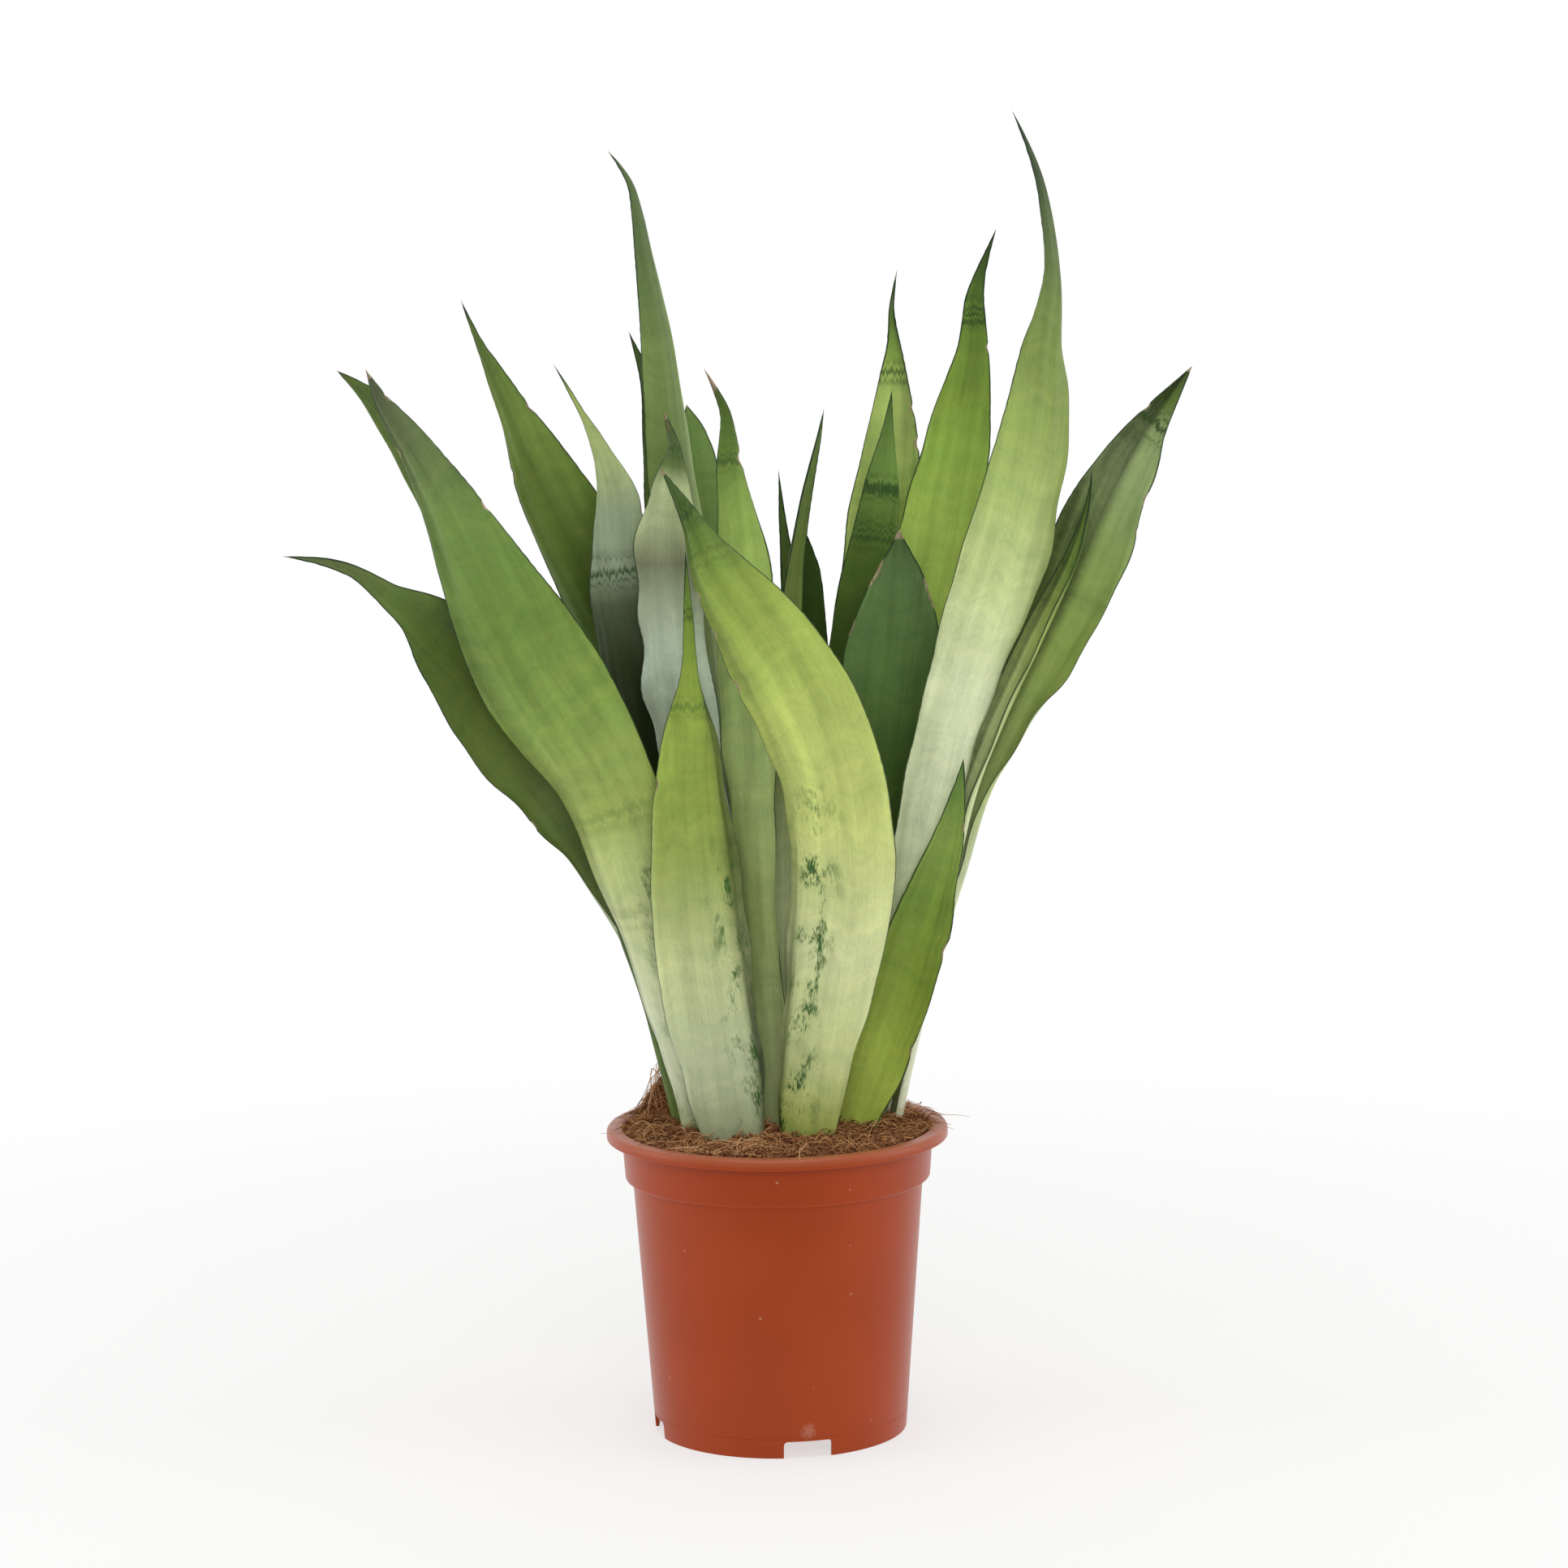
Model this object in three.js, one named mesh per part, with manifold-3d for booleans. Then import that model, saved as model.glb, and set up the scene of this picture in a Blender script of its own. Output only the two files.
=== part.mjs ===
// A potted snake plant: a moulded nursery pot, its coir potting mix and the leaves that grow out of it.
// Millimetres, +Z up, origin at the middle of the pot's foot, -Y is the front.
import * as THREE from 'three';
import { mergeVertices } from 'three/addons/utils/BufferGeometryUtils.js';
import Module from 'manifold-3d';

// Driving dimensions of the pot
const POT_HEIGHT = 154;
const RIM_RADIUS = 85;
const LIP_HEIGHT = 5.5;
const LIP_ROUND = 2.2;
const LIP_BEAD = 1;
const BAND_TOP_RADIUS = 77.5;
const BAND_BOTTOM_RADIUS = 76;
const BAND_BOTTOM_Z = 127;
const STEP_HEIGHT = 3;
const STEP_LEDGE = 0.8;
const STEP_ROUND = 1;
const BODY_TOP_RADIUS = 72.3;
const FOOT_RADIUS = 63;
const WALL = 1.8;

// Driving dimensions of its floor, notches and drain holes
const FLOOR_RISE = 9;
const PAD_RADIUS = 24;
const PAD_SLOPE = 6;
const PAD_INSET = 1;
const NOTCH_WIDTH = 24;
const NOTCH_HEIGHT = 8.5;
const NOTCH_ROUND = 2;
const NOTCH_OUTWARD = 3;
const NOTCH_INWARD = 9;
const NOTCH_COUNT = 4;
const FIRST_NOTCH_ANGLE = 12;
const HOLE_RADIUS = 4.5;
const HOLE_COUNT = 8;
const HOLE_RING_RADIUS = 45;
const ROUND_STEPS = 48;

// Driving dimensions of the potting mix
const MIX_GAP = 0.35;
const MIX_EDGE_GAP = 0.95;
const MIX_BAND_GAP = 0.65;
const MIX_PAD_GAP = 1.5;
const MIX_EDGE_Z = 150.5;
const MIX_MOUND = 3.5;
const MIX_RINGS = [0.93, 0.86, 0.78, 0.69, 0.6, 0.4, 0.2];
const CLUMP = { x: -57, y: 27, height: 16, spread: 11 };

// Driving dimensions shared by all leaves
const BASE_THICKNESS = 6.5;
const BLADE_THICKNESS = 3;
const TIP_THICKNESS = 1;
const LEAST_THICKNESS = 0.8;
const BASE_SHARE = 0.35;
const THICKNESS_PER_WIDTH = 0.3;
const LEAF_GAP = 0.5;
const RINGS_PER_STATION = 2;
const SHOULDER = 0.55;

// Each leaf is a list of stations from its root to its tip. A station is the middle of the leaf's back:
// [x, y, z, width along the curve of the blade, facing, curl]. Facing is the compass angle that the
// hollow side looks at (0 to the front, 90 to the right), curl is how far the blade bends across.
const LEAVES = {
  leaf_front_left: [
    [-18, -31, 139, 38, 198, 135], [-20, -36, 165, 44, 198, 125], [-26, -42, 205, 52, 200, 110],
    [-33, -44, 256, 54, 200, 90], [-37, -42, 308, 46, 200, 80], [-39, -36, 345, 34, 200, 80],
    [-39, -27, 384, 11, 200, 90], [-41, -16, 443, 0, 200, 90]],
  leaf_front_arching: [
    [12, -28, 139, 30, 165, 150], [13, -33, 160, 38, 165, 140], [21, -41, 215, 48, 165, 110],
    [30, -49, 277, 58, 162, 80], [27, -53, 334, 56, 165, 62], [11, -55, 377, 54, 170, 50],
    [-8, -53, 410, 44, 175, 45], [-24, -47, 433, 30, 180, 50], [-35, -40, 455, 14, 185, 60],
    [-52, -30, 484, 0, 185, 60]],
  leaf_front_right_short: [
    [38, -2, 139, 24, -20, 110], [42, -3, 158, 27, -20, 105], [55, -6, 195, 33, -20, 90],
    [68, -9, 237, 36, -20, 70], [80, -10, 275, 26, -25, 60], [89, -10, 306, 15, -25, 60],
    [94, -9, 338, 0, -25, 60]],
  leaf_left_broad: [
    [-37, -12, 139, 28, 150, 150], [-40, -14, 160, 34, 150, 145], [-53, -22, 222, 52, 152, 125],
    [-70, -27, 287, 57, 155, 95], [-87, -27, 335, 57, 160, 70], [-113, -26, 379, 67, 165, 55],
    [-134, -25, 421, 52, 170, 48], [-154, -23, 463, 32, 170, 50], [-173, -22, 497, 18, 170, 60],
    [-188, -21, 520, 7, 170, 80], [-194, -20, 533, 0, 170, 80]],
  leaf_left_low: [
    [-43, 25, 139, 22, 75, 150], [-48, 25, 160, 24, 72, 140], [-66, 23, 230, 32, 60, 115],
    [-92, 15, 300, 52, 38, 80], [-128, 8, 357, 62, 20, 60], [-153, 5, 389, 46, 15, 55],
    [-170, 4, 408, 29, 12, 60], [-187, 3, 421, 14, 10, 70], [-203, 2, 432, 7.5, 10, 80],
    [-219, 1, 438, 4.5, 10, 80], [-239, 0, 441, 0, 10, 80]],
  leaf_left_sliver: [
    [-47, 4, 139, 9, 120, 90], [-52, 6, 162, 10, 120, 90], [-65, 5, 216, 10, 120, 80],
    [-75, 1, 246, 6, 120, 80], [-80, -1, 260, 0, 120, 60]],
  leaf_left_rear: [
    [-28, 39, 139, 20, 160, 150], [-32, 39, 165, 24, 160, 130], [-72, 34, 290, 38, 162, 90],
    [-121, 29, 392, 36, 165, 60], [-164, 21, 468, 27, 165, 60], [-192, 14, 514, 13, 165, 60],
    [-211, 12, 531, 0, 165, 60]],
  leaf_upper_left: [
    [-27, 50, 139, 21, 170, 150], [-30, 52, 170, 25, 170, 130], [-46, 52, 285, 40, 170, 90],
    [-66, 47, 375, 48, 170, 60], [-88, 43, 427, 46, 170, 50], [-107, 40, 466, 38, 170, 45],
    [-128, 37, 512, 16, 170, 50], [-143, 36, 544, 4, 170, 60], [-151, 36, 564, 0, 170, 60]],
  leaf_silver_left: [
    [-22, 19, 139, 22, 175, 150], [-25, 20, 165, 26, 175, 130], [-46, 22, 285, 36, 176, 90],
    [-64, 18, 370, 38, 180, 65], [-73, 16, 425, 33, 180, 55], [-75, 15, 464, 24, 180, 65],
    [-81, 15, 487, 11, 180, 85], [-90, 15, 506, 4, 180, 90], [-105, 14, 533, 0, 180, 90]],
  leaf_tall_left: [
    [-8, 46, 139, 22, 215, 150], [-12, 45, 180, 26, 215, 120], [-27, 40, 305, 34, 220, 90],
    [-37, 38, 408, 38, 225, 85], [-44, 36, 474, 36, 225, 90], [-51, 35, 542, 26, 230, 100],
    [-59, 34, 590, 14, 235, 110], [-66, 34, 620, 5, 235, 110], [-77, 33, 636, 0, 235, 110]],
  leaf_behind_tall_left: [
    [-13, 61, 139, 16, 0, 150], [-16, 62, 170, 20, 0, 120], [-37, 66, 345, 28, 0, 80],
    [-50, 66, 450, 26, 0, 60], [-55, 65, 500, 17, 0, 60], [-61, 64, 524, 7, 0, 60],
    [-69, 63, 546, 0, 0, 60]],
  leaf_silver_wavy: [
    [-17, 5, 139, 18, 168, 150], [-19, 6, 165, 22, 168, 130], [-32, 7, 285, 30, 168, 90],
    [-46, 3, 370, 36, 172, 65], [-49, 0, 415, 35, 176, 55], [-49, -1, 453, 32, 180, 50],
    [-47, -1, 475, 19, 180, 50], [-46, -1, 492, 7, 180, 80], [-51, 0, 510, 0, 180, 80]],
  leaf_rear_centre: [
    [6, 64, 139, 14, 0, 150], [4, 67, 175, 18, 0, 120], [-18, 82, 343, 28, 0, 80],
    [-33, 84, 446, 26, 0, 60], [-37, 84, 481, 22, 0, 50], [-39, 83, 498, 11, 0, 50],
    [-41, 82, 508, 0, 0, 50]],
  leaf_dry_tip: [
    [-1, -10, 139, 20, 165, 150], [-3, -9, 165, 22, 165, 150], [-10, -3, 285, 24, 168, 125],
    [-12, 3, 371, 32, 172, 75], [-13, 7, 430, 28, 176, 60], [-19, 8, 481, 14, 176, 60],
    [-21, 8, 508, 6, 176, 80], [-31, 8, 530, 0, 176, 80]],
  leaf_inner_strip: [
    [5, 13, 139, 14, 10, 150], [4, 14, 165, 15, 10, 140], [3, 20, 245, 16, 10, 110],
    [5, 26, 340, 18, 14, 90], [9, 30, 389, 15, 20, 85], [12, 32, 430, 11, 30, 80],
    [19, 34, 468, 7, 40, 80], [25, 35, 493, 3.5, 40, 80], [28, 35, 508, 0, 40, 80]],
  leaf_spike: [
    [11, 37, 139, 9, 0, 140], [11, 39, 165, 11, 0, 130], [12, 46, 305, 14, 0, 110],
    [11, 50, 405, 11, 0, 90], [7, 50, 448, 5, 0, 90], [5, 49, 477, 0, 0, 80]],
  leaf_dark_rear: [
    [19, 52, 139, 14, 0, 150], [20, 54, 170, 17, 0, 120], [22, 64, 303, 22, 0, 80],
    [22, 68, 385, 16, 0, 60], [20, 68, 426, 10, 0, 60], [15, 67, 452, 0, 0, 60]],
  leaf_rear_right: [
    [31, 61, 139, 16, 0, 150], [33, 63, 170, 20, 0, 120], [38, 75, 322, 28, 0, 80],
    [52, 80, 425, 33, 0, 60], [60, 80, 466, 34, 0, 50], [63, 79, 501, 24, 0, 50],
    [64, 77, 536, 8, 0, 60], [63, 75, 555, 3, 0, 80], [66, 75, 575, 0, 0, 80]],
  leaf_banded: [
    [22, 28, 139, 17, 180, 150], [24, 29, 170, 20, 180, 125], [33, 36, 306, 29, 180, 85],
    [45, 41, 387, 34, 180, 60], [52, 43, 436, 27, 180, 55], [57, 45, 472, 17, 180, 60],
    [60, 46, 498, 5.5, 180, 80], [62, 46, 516, 0, 180, 80]],
  leaf_dark_broad: [
    [23, 13, 139, 18, 10, 150], [26, 14, 165, 21, 10, 130], [36, 16, 220, 29, 8, 100],
    [46, 17, 276, 37, 8, 80], [54, 17, 349, 46, 8, 60], [60, 17, 392, 50, 8, 50],
    [63, 16, 419, 33, 8, 50], [64, 15, 438, 12, 8, 50], [64, 14, 449, 0, 8, 50]],
  leaf_rear_striped: [
    [41, 49, 139, 17, 0, 150], [43, 51, 170, 21, 0, 125], [61, 60, 304, 36, 0, 85],
    [77, 63, 404, 45, 0, 70], [88, 63, 455, 42, 0, 60], [97, 61, 501, 31, 0, 60],
    [103, 59, 535, 17.5, 0, 60], [104, 57, 560, 10, 0, 60], [108, 56, 576, 5, 0, 80],
    [115, 55, 595, 0, 0, 80]],
  leaf_tall_right: [
    [44, 13, 139, 22, 200, 150], [49, 11, 165, 26, 200, 140], [64, 3, 226, 32, 200, 115],
    [78, -3, 305, 35, 200, 98], [95, -7, 372, 40, 200, 85], [116, -9, 432, 49, 200, 70],
    [131, -9, 492, 41, 200, 68], [136, -8, 537, 26, 202, 90], [140, -6, 575, 11, 210, 140],
    [133, -5, 622, 6, 230, 150], [120, -4, 653, 0, 235, 150]],
  leaf_far_right: [
    [53, 31, 139, 15, 260, 150], [59, 32, 165, 18, 265, 140], [86, 34, 249, 25, 285, 130],
    [105, 32, 316, 28, 298, 100], [127, 27, 366, 46, 308, 75], [150, 21, 411, 53, 315, 60],
    [168, 16, 455, 46, 320, 55], [183, 12, 487, 29, 320, 58], [197, 8, 511, 12.5, 320, 60],
    [208, 6, 528, 0, 320, 60]],
  leaf_right_folded: [
    [58, 15, 139, 13, 280, 140], [63, 15, 165, 13, 280, 140], [83, 17, 250, 14, 288, 135],
    [100, 12, 322, 18, 300, 140], [119, 9, 368, 20, 300, 140], [133, 5, 398, 19, 300, 140],
    [150, 0, 436, 12, 300, 135], [156, -3, 459, 5, 300, 130], [158, -6, 480, 0, 300, 130]],
};

const LEAF_GREEN = {
  leaf_front_left: 0x8fae5a, leaf_front_arching: 0xa6bf63, leaf_front_right_short: 0x7fae3a,
  leaf_left_broad: 0x76a050, leaf_left_low: 0x566b3c, leaf_silver_left: 0x9fb0a0,
  leaf_silver_wavy: 0xa3b29c, leaf_upper_left: 0x5e7d3a, leaf_dark_broad: 0x3f6a40,
  leaf_banded: 0x466b3c, leaf_tall_right: 0x9db874, leaf_rear_centre: 0x5c8258,
};
const COMMON_GREEN = 0x7a9c4c;

const wasm = await Module();
wasm.setup();

function toSolid(geometry) {
  const bare = geometry.clone();
  bare.deleteAttribute('normal');
  bare.deleteAttribute('uv');
  const merged = mergeVertices(bare, 1e-4);
  const vertProperties = new Float32Array(merged.attributes.position.array);
  const triVerts = new Uint32Array(merged.index.array);
  return new wasm.Manifold(new wasm.Mesh({ numProp: 3, vertProperties, triVerts }));
}

function toGeometry(solid) {
  const mesh = solid.getMesh();
  const geometry = new THREE.BufferGeometry();
  geometry.setAttribute('position', new THREE.BufferAttribute(mesh.vertProperties, 3));
  geometry.setIndex(new THREE.BufferAttribute(mesh.triVerts, 1));
  return geometry;
}

function latheUp(points) {
  const geometry = new THREE.LatheGeometry(points, ROUND_STEPS);
  geometry.rotateX(Math.PI / 2);
  return geometry;
}

function arc(centreX, centreZ, radius, fromDegrees, toDegrees, steps) {
  const points = [];
  for (let i = 0; i <= steps; i += 1) {
    const angle = THREE.MathUtils.degToRad(fromDegrees + ((toDegrees - fromDegrees) * i) / steps);
    points.push(new THREE.Vector2(centreX + radius * Math.cos(angle), centreZ + radius * Math.sin(angle)));
  }
  return points;
}

// The radius of the pot's outside at a height below the band
function bodyRadius(z) {
  return THREE.MathUtils.mapLinear(z, 0, BAND_BOTTOM_Z, FOOT_RADIUS, BODY_TOP_RADIUS);
}

const MOUTH_RADIUS = BAND_TOP_RADIUS - WALL;
const FLOOR_TOP = FLOOR_RISE + WALL;
const LIP_UNDER_Z = POT_HEIGHT - LIP_HEIGHT;

// Pot: one moulded wall with a stepped band, a rolled lip and a floor whose middle stands on the ground
function makePot() {
  const bandWallTop = BAND_BOTTOM_Z + STEP_HEIGHT;
  const outside = [
    new THREE.Vector2(0, 0),
    new THREE.Vector2(PAD_RADIUS, 0),
    new THREE.Vector2(PAD_RADIUS + PAD_SLOPE, FLOOR_RISE),
    new THREE.Vector2(bodyRadius(FLOOR_RISE) - WALL, FLOOR_RISE),
    new THREE.Vector2(FOOT_RADIUS - WALL, 0),
    new THREE.Vector2(FOOT_RADIUS, 0),
    new THREE.Vector2(bodyRadius(BAND_BOTTOM_Z / 2), BAND_BOTTOM_Z / 2),
    new THREE.Vector2(BODY_TOP_RADIUS, BAND_BOTTOM_Z),
    new THREE.Vector2(BAND_BOTTOM_RADIUS - STEP_ROUND, BAND_BOTTOM_Z + STEP_LEDGE),
    new THREE.Vector2(BAND_BOTTOM_RADIUS, bandWallTop),
    new THREE.Vector2(BAND_TOP_RADIUS, LIP_UNDER_Z + LIP_BEAD),
    new THREE.Vector2(RIM_RADIUS - 2.5 * LIP_BEAD, LIP_UNDER_Z + LIP_BEAD),
    new THREE.Vector2(RIM_RADIUS - 1.5 * LIP_BEAD, LIP_UNDER_Z),
    ...arc(RIM_RADIUS - LIP_BEAD, LIP_UNDER_Z + LIP_BEAD, LIP_BEAD, -90, 0, 2),
    ...arc(RIM_RADIUS - LIP_ROUND, POT_HEIGHT - LIP_ROUND, LIP_ROUND, 0, 90, 4),
    ...arc(MOUTH_RADIUS + LIP_ROUND, POT_HEIGHT - LIP_ROUND, LIP_ROUND, 90, 180, 4),
  ];
  const inside = [
    new THREE.Vector2(BAND_BOTTOM_RADIUS - WALL, bandWallTop),
    new THREE.Vector2(BODY_TOP_RADIUS - WALL, BAND_BOTTOM_Z - STEP_ROUND),
    new THREE.Vector2(bodyRadius(FLOOR_TOP) - WALL, FLOOR_TOP),
    new THREE.Vector2(PAD_RADIUS + PAD_SLOPE - PAD_INSET, FLOOR_TOP),
    new THREE.Vector2(PAD_RADIUS - PAD_INSET, WALL),
    new THREE.Vector2(0, WALL),
  ];
  let pot = toSolid(latheUp([...outside, ...inside]));
  for (let i = 0; i < NOTCH_COUNT; i += 1) {
    pot = pot.subtract(toSolid(makeNotchCutter(FIRST_NOTCH_ANGLE + (360 * i) / NOTCH_COUNT)));
  }
  for (let i = 0; i < HOLE_COUNT; i += 1) {
    const angle = (2 * Math.PI * (i + 0.5)) / HOLE_COUNT;
    const drill = new THREE.CylinderGeometry(HOLE_RADIUS, HOLE_RADIUS, 4 * WALL, 12);
    drill.rotateX(Math.PI / 2);
    drill.translate(HOLE_RING_RADIUS * Math.cos(angle), HOLE_RING_RADIUS * Math.sin(angle), FLOOR_RISE);
    pot = pot.subtract(toSolid(drill));
  }
  return toGeometry(pot);
}

// A block with two rounded top corners, set across the foot at an angle from the front
function makeNotchCutter(degreesFromFront) {
  const half = NOTCH_WIDTH / 2;
  const outline = new THREE.Shape();
  outline.moveTo(-half, -WALL);
  outline.lineTo(half, -WALL);
  outline.lineTo(half, NOTCH_HEIGHT - NOTCH_ROUND);
  outline.quadraticCurveTo(half, NOTCH_HEIGHT, half - NOTCH_ROUND, NOTCH_HEIGHT);
  outline.lineTo(-half + NOTCH_ROUND, NOTCH_HEIGHT);
  outline.quadraticCurveTo(-half, NOTCH_HEIGHT, -half, NOTCH_HEIGHT - NOTCH_ROUND);
  const depth = NOTCH_OUTWARD + NOTCH_INWARD;
  const cutter = new THREE.ExtrudeGeometry(outline, { depth, bevelEnabled: false, curveSegments: 3 });
  cutter.rotateX(Math.PI / 2);
  cutter.translate(0, NOTCH_INWARD - FOOT_RADIUS, 0);
  cutter.rotateZ(THREE.MathUtils.degToRad(degreesFromFront));
  return cutter;
}

// Thick and fleshy over its base, then thinning evenly to the tip, and never thick for its width
function leafThickness(along, width) {
  const tapered = along < BASE_SHARE
    ? THREE.MathUtils.mapLinear(along, 0, BASE_SHARE, BASE_THICKNESS, BLADE_THICKNESS)
    : THREE.MathUtils.mapLinear(along, BASE_SHARE, 1, BLADE_THICKNESS, TIP_THICKNESS);
  return Math.min(tapered, Math.max(THICKNESS_PER_WIDTH * width, LEAST_THICKNESS));
}

// The eight points of a leaf's cross-section: two sharp margins, three on the back, three on the hollow side
function leafSection(keel, across, facing, width, curl, thickness, grown) {
  const radius = width / curl;
  const point = (angle, offset) => {
    const inward = facing.clone().multiplyScalar(Math.cos(angle)).addScaledVector(across, -Math.sin(angle));
    return keel.clone()
      .addScaledVector(across, radius * Math.sin(angle))
      .addScaledVector(facing, radius * (1 - Math.cos(angle)))
      .addScaledVector(inward, offset);
  };
  const shoulder = SHOULDER * (curl / 2);
  const shoulderHalf = (thickness * (1 - SHOULDER ** 2)) / 2 + grown;
  const middleHalf = thickness / 2 + grown;
  const margin = (side) => {
    const edge = point((side * curl) / 2, 0);
    const outward = edge.clone().sub(point(side * shoulder, 0)).setLength(3 * grown);
    return edge.add(outward);
  };
  return [
    margin(-1), point(-shoulder, -shoulderHalf), point(0, -middleHalf), point(shoulder, -shoulderHalf),
    margin(1), point(shoulder, shoulderHalf), point(0, middleHalf), point(-shoulder, shoulderHalf),
  ];
}

// A leaf as one closed skin: sections swept along its back, a cap at the root and a point at the tip.
// A grown leaf is the same shape with some clearance all round and below.
function makeLeaf(stations, grown) {
  const spine = new THREE.CatmullRomCurve3(stations.map(([x, y, z]) => new THREE.Vector3(x, y, z)));
  const shape = new THREE.CatmullRomCurve3(
    stations.map(([, , , width, facing, curl]) => new THREE.Vector3(width, facing, curl)));
  const steps = RINGS_PER_STATION * (stations.length - 1);
  const rings = [];
  for (let step = 0; step < steps; step += 1) {
    const along = step / steps;
    const tangent = spine.getTangent(along);
    const { x: width, y: facingDegrees, z: curlDegrees } = shape.getPoint(along);
    const turn = THREE.MathUtils.degToRad(facingDegrees);
    const facing = new THREE.Vector3(Math.sin(turn), -Math.cos(turn), 0);
    facing.addScaledVector(tangent, -facing.dot(tangent)).normalize();
    const across = new THREE.Vector3().crossVectors(tangent, facing);
    const thickness = leafThickness(along, width);
    const curl = THREE.MathUtils.degToRad(curlDegrees);
    const ring = leafSection(spine.getPoint(along), across, facing, width, curl, thickness, grown);
    if (step === 0 && grown > 0) {
      rings.push(ring.map((point) => point.clone().addScaledVector(tangent, -2 * grown)));
    }
    rings.push(ring);
  }
  const vertices = [...rings.flat(), spine.getPoint(1)];
  const size = 8;
  const faces = [0, 1, 7, 1, 6, 7, 1, 2, 6, 2, 5, 6, 2, 3, 5, 3, 4, 5];
  for (let ring = 0; ring < rings.length; ring += 1) {
    const isLast = ring === rings.length - 1;
    for (let k = 0; k < size; k += 1) {
      const a = ring * size + k;
      const b = ring * size + ((k + 1) % size);
      if (isLast) faces.push(b, a, vertices.length - 1);
      else faces.push(a, b + size, b, a, a + size, b + size);
    }
  }
  const geometry = new THREE.BufferGeometry().setFromPoints(vertices);
  geometry.setIndex(faces);
  return geometry;
}

// Potting mix: fills the pot with a little play, heaped towards the middle, with one raised clump
function makeMix() {
  const wall = (z) => bodyRadius(z) - WALL - MIX_GAP;
  const edge = MOUTH_RADIUS - MIX_EDGE_GAP;
  const surface = MIX_RINGS.map((share) => new THREE.Vector2(
    share * edge, MIX_EDGE_Z + MIX_MOUND * (1 - share * share)));
  const profile = [
    new THREE.Vector2(0, WALL + MIX_GAP),
    new THREE.Vector2(PAD_RADIUS - MIX_PAD_GAP, WALL + MIX_GAP),
    new THREE.Vector2(PAD_RADIUS + PAD_SLOPE - MIX_PAD_GAP, FLOOR_TOP + MIX_GAP),
    new THREE.Vector2(wall(FLOOR_TOP), FLOOR_TOP + MIX_GAP),
    new THREE.Vector2(wall(BAND_BOTTOM_Z - STEP_ROUND), BAND_BOTTOM_Z - STEP_ROUND),
    new THREE.Vector2(BAND_BOTTOM_RADIUS - WALL - MIX_BAND_GAP, BAND_BOTTOM_Z + STEP_HEIGHT + STEP_ROUND),
    new THREE.Vector2(edge, MIX_EDGE_Z),
    ...surface,
    new THREE.Vector2(0, MIX_EDGE_Z + MIX_MOUND),
  ];
  const geometry = latheUp(profile);
  const position = geometry.attributes.position;
  for (let i = 0; i < position.count; i += 1) {
    const x = position.getX(i);
    const y = position.getY(i);
    const z = position.getZ(i);
    if (z > MIX_EDGE_Z + 0.01) {
      const away = ((x - CLUMP.x) ** 2 + (y - CLUMP.y) ** 2) / CLUMP.spread ** 2;
      position.setZ(i, z + CLUMP.height * Math.exp(-away));
    }
  }
  let mix = toSolid(geometry);
  for (const stations of Object.values(LEAVES)) mix = mix.subtract(toSolid(makeLeaf(stations, LEAF_GAP)));
  const byVolume = mix.decompose().sort((first, second) => second.volume() - first.volume());
  return toGeometry(byVolume[0]);
}

function addPart(name, geometry, colour, roughness) {
  const material = new THREE.MeshStandardMaterial({ color: colour, roughness, metalness: 0 });
  const mesh = new THREE.Mesh(geometry, material);
  mesh.name = name;
  plant.add(mesh);
}

const plant = new THREE.Group();
addPart('nursery_pot', makePot(), 0x9a4420, 0.45);
addPart('potting_mix', makeMix(), 0x6b4226, 1);
for (const [name, stations] of Object.entries(LEAVES)) {
  addPart(name, makeLeaf(stations, 0), LEAF_GREEN[name] ?? COMMON_GREEN, 0.5);
}

export default plant;
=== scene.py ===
"""A potted snake plant: a moulded nursery pot, coir potting mix and twenty-four succulent leaves."""

import math
import random

import bmesh
import bpy
import numpy as np
from bpy.props import FloatProperty, FloatVectorProperty, IntProperty, PointerProperty
from mathutils import Euler, Matrix, Vector, noise


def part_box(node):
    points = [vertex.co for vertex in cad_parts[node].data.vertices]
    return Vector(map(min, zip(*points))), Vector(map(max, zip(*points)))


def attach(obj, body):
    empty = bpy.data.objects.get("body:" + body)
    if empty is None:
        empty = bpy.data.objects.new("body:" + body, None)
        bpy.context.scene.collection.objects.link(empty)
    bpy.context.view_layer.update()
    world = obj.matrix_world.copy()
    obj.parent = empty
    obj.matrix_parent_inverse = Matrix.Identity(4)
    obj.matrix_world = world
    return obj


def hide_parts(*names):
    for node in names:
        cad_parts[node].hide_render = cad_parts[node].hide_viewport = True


bl_info = {
    "name": "Potted snake plant",
    "version": (1, 0, 0),
    "blender": (4, 5, 0),
    "location": "3D View > Sidebar > Snake plant",
    "description": "Builds the pot, the mix, the leaves and the studio around the packed frame",
    "category": "Add Mesh",
}

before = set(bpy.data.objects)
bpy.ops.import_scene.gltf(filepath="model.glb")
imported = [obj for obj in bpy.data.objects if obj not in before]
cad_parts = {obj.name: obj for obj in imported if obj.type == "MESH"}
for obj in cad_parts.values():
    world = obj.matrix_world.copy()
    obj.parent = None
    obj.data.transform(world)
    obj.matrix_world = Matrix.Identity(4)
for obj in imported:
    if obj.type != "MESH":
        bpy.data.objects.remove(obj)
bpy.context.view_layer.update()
POT_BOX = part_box("nursery_pot")
MIX_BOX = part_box("potting_mix")

MM = 0.001
SEED = 24

# Leaves: how the frame's leaves are read, and how finely they are drawn
RING_POINTS = 8
MERGE = 0.01 * MM
SECTION_KNOTS = (-1.0, -0.55, 0.0, 0.55, 1.0)
LEAST_ROWS = 24
EDGE_HALF = 0.32 * MM
EDGE_SHARE = 0.35
EDGE_SHARPNESS = 14
BLADE_SHARPNESS = 2.4

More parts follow.
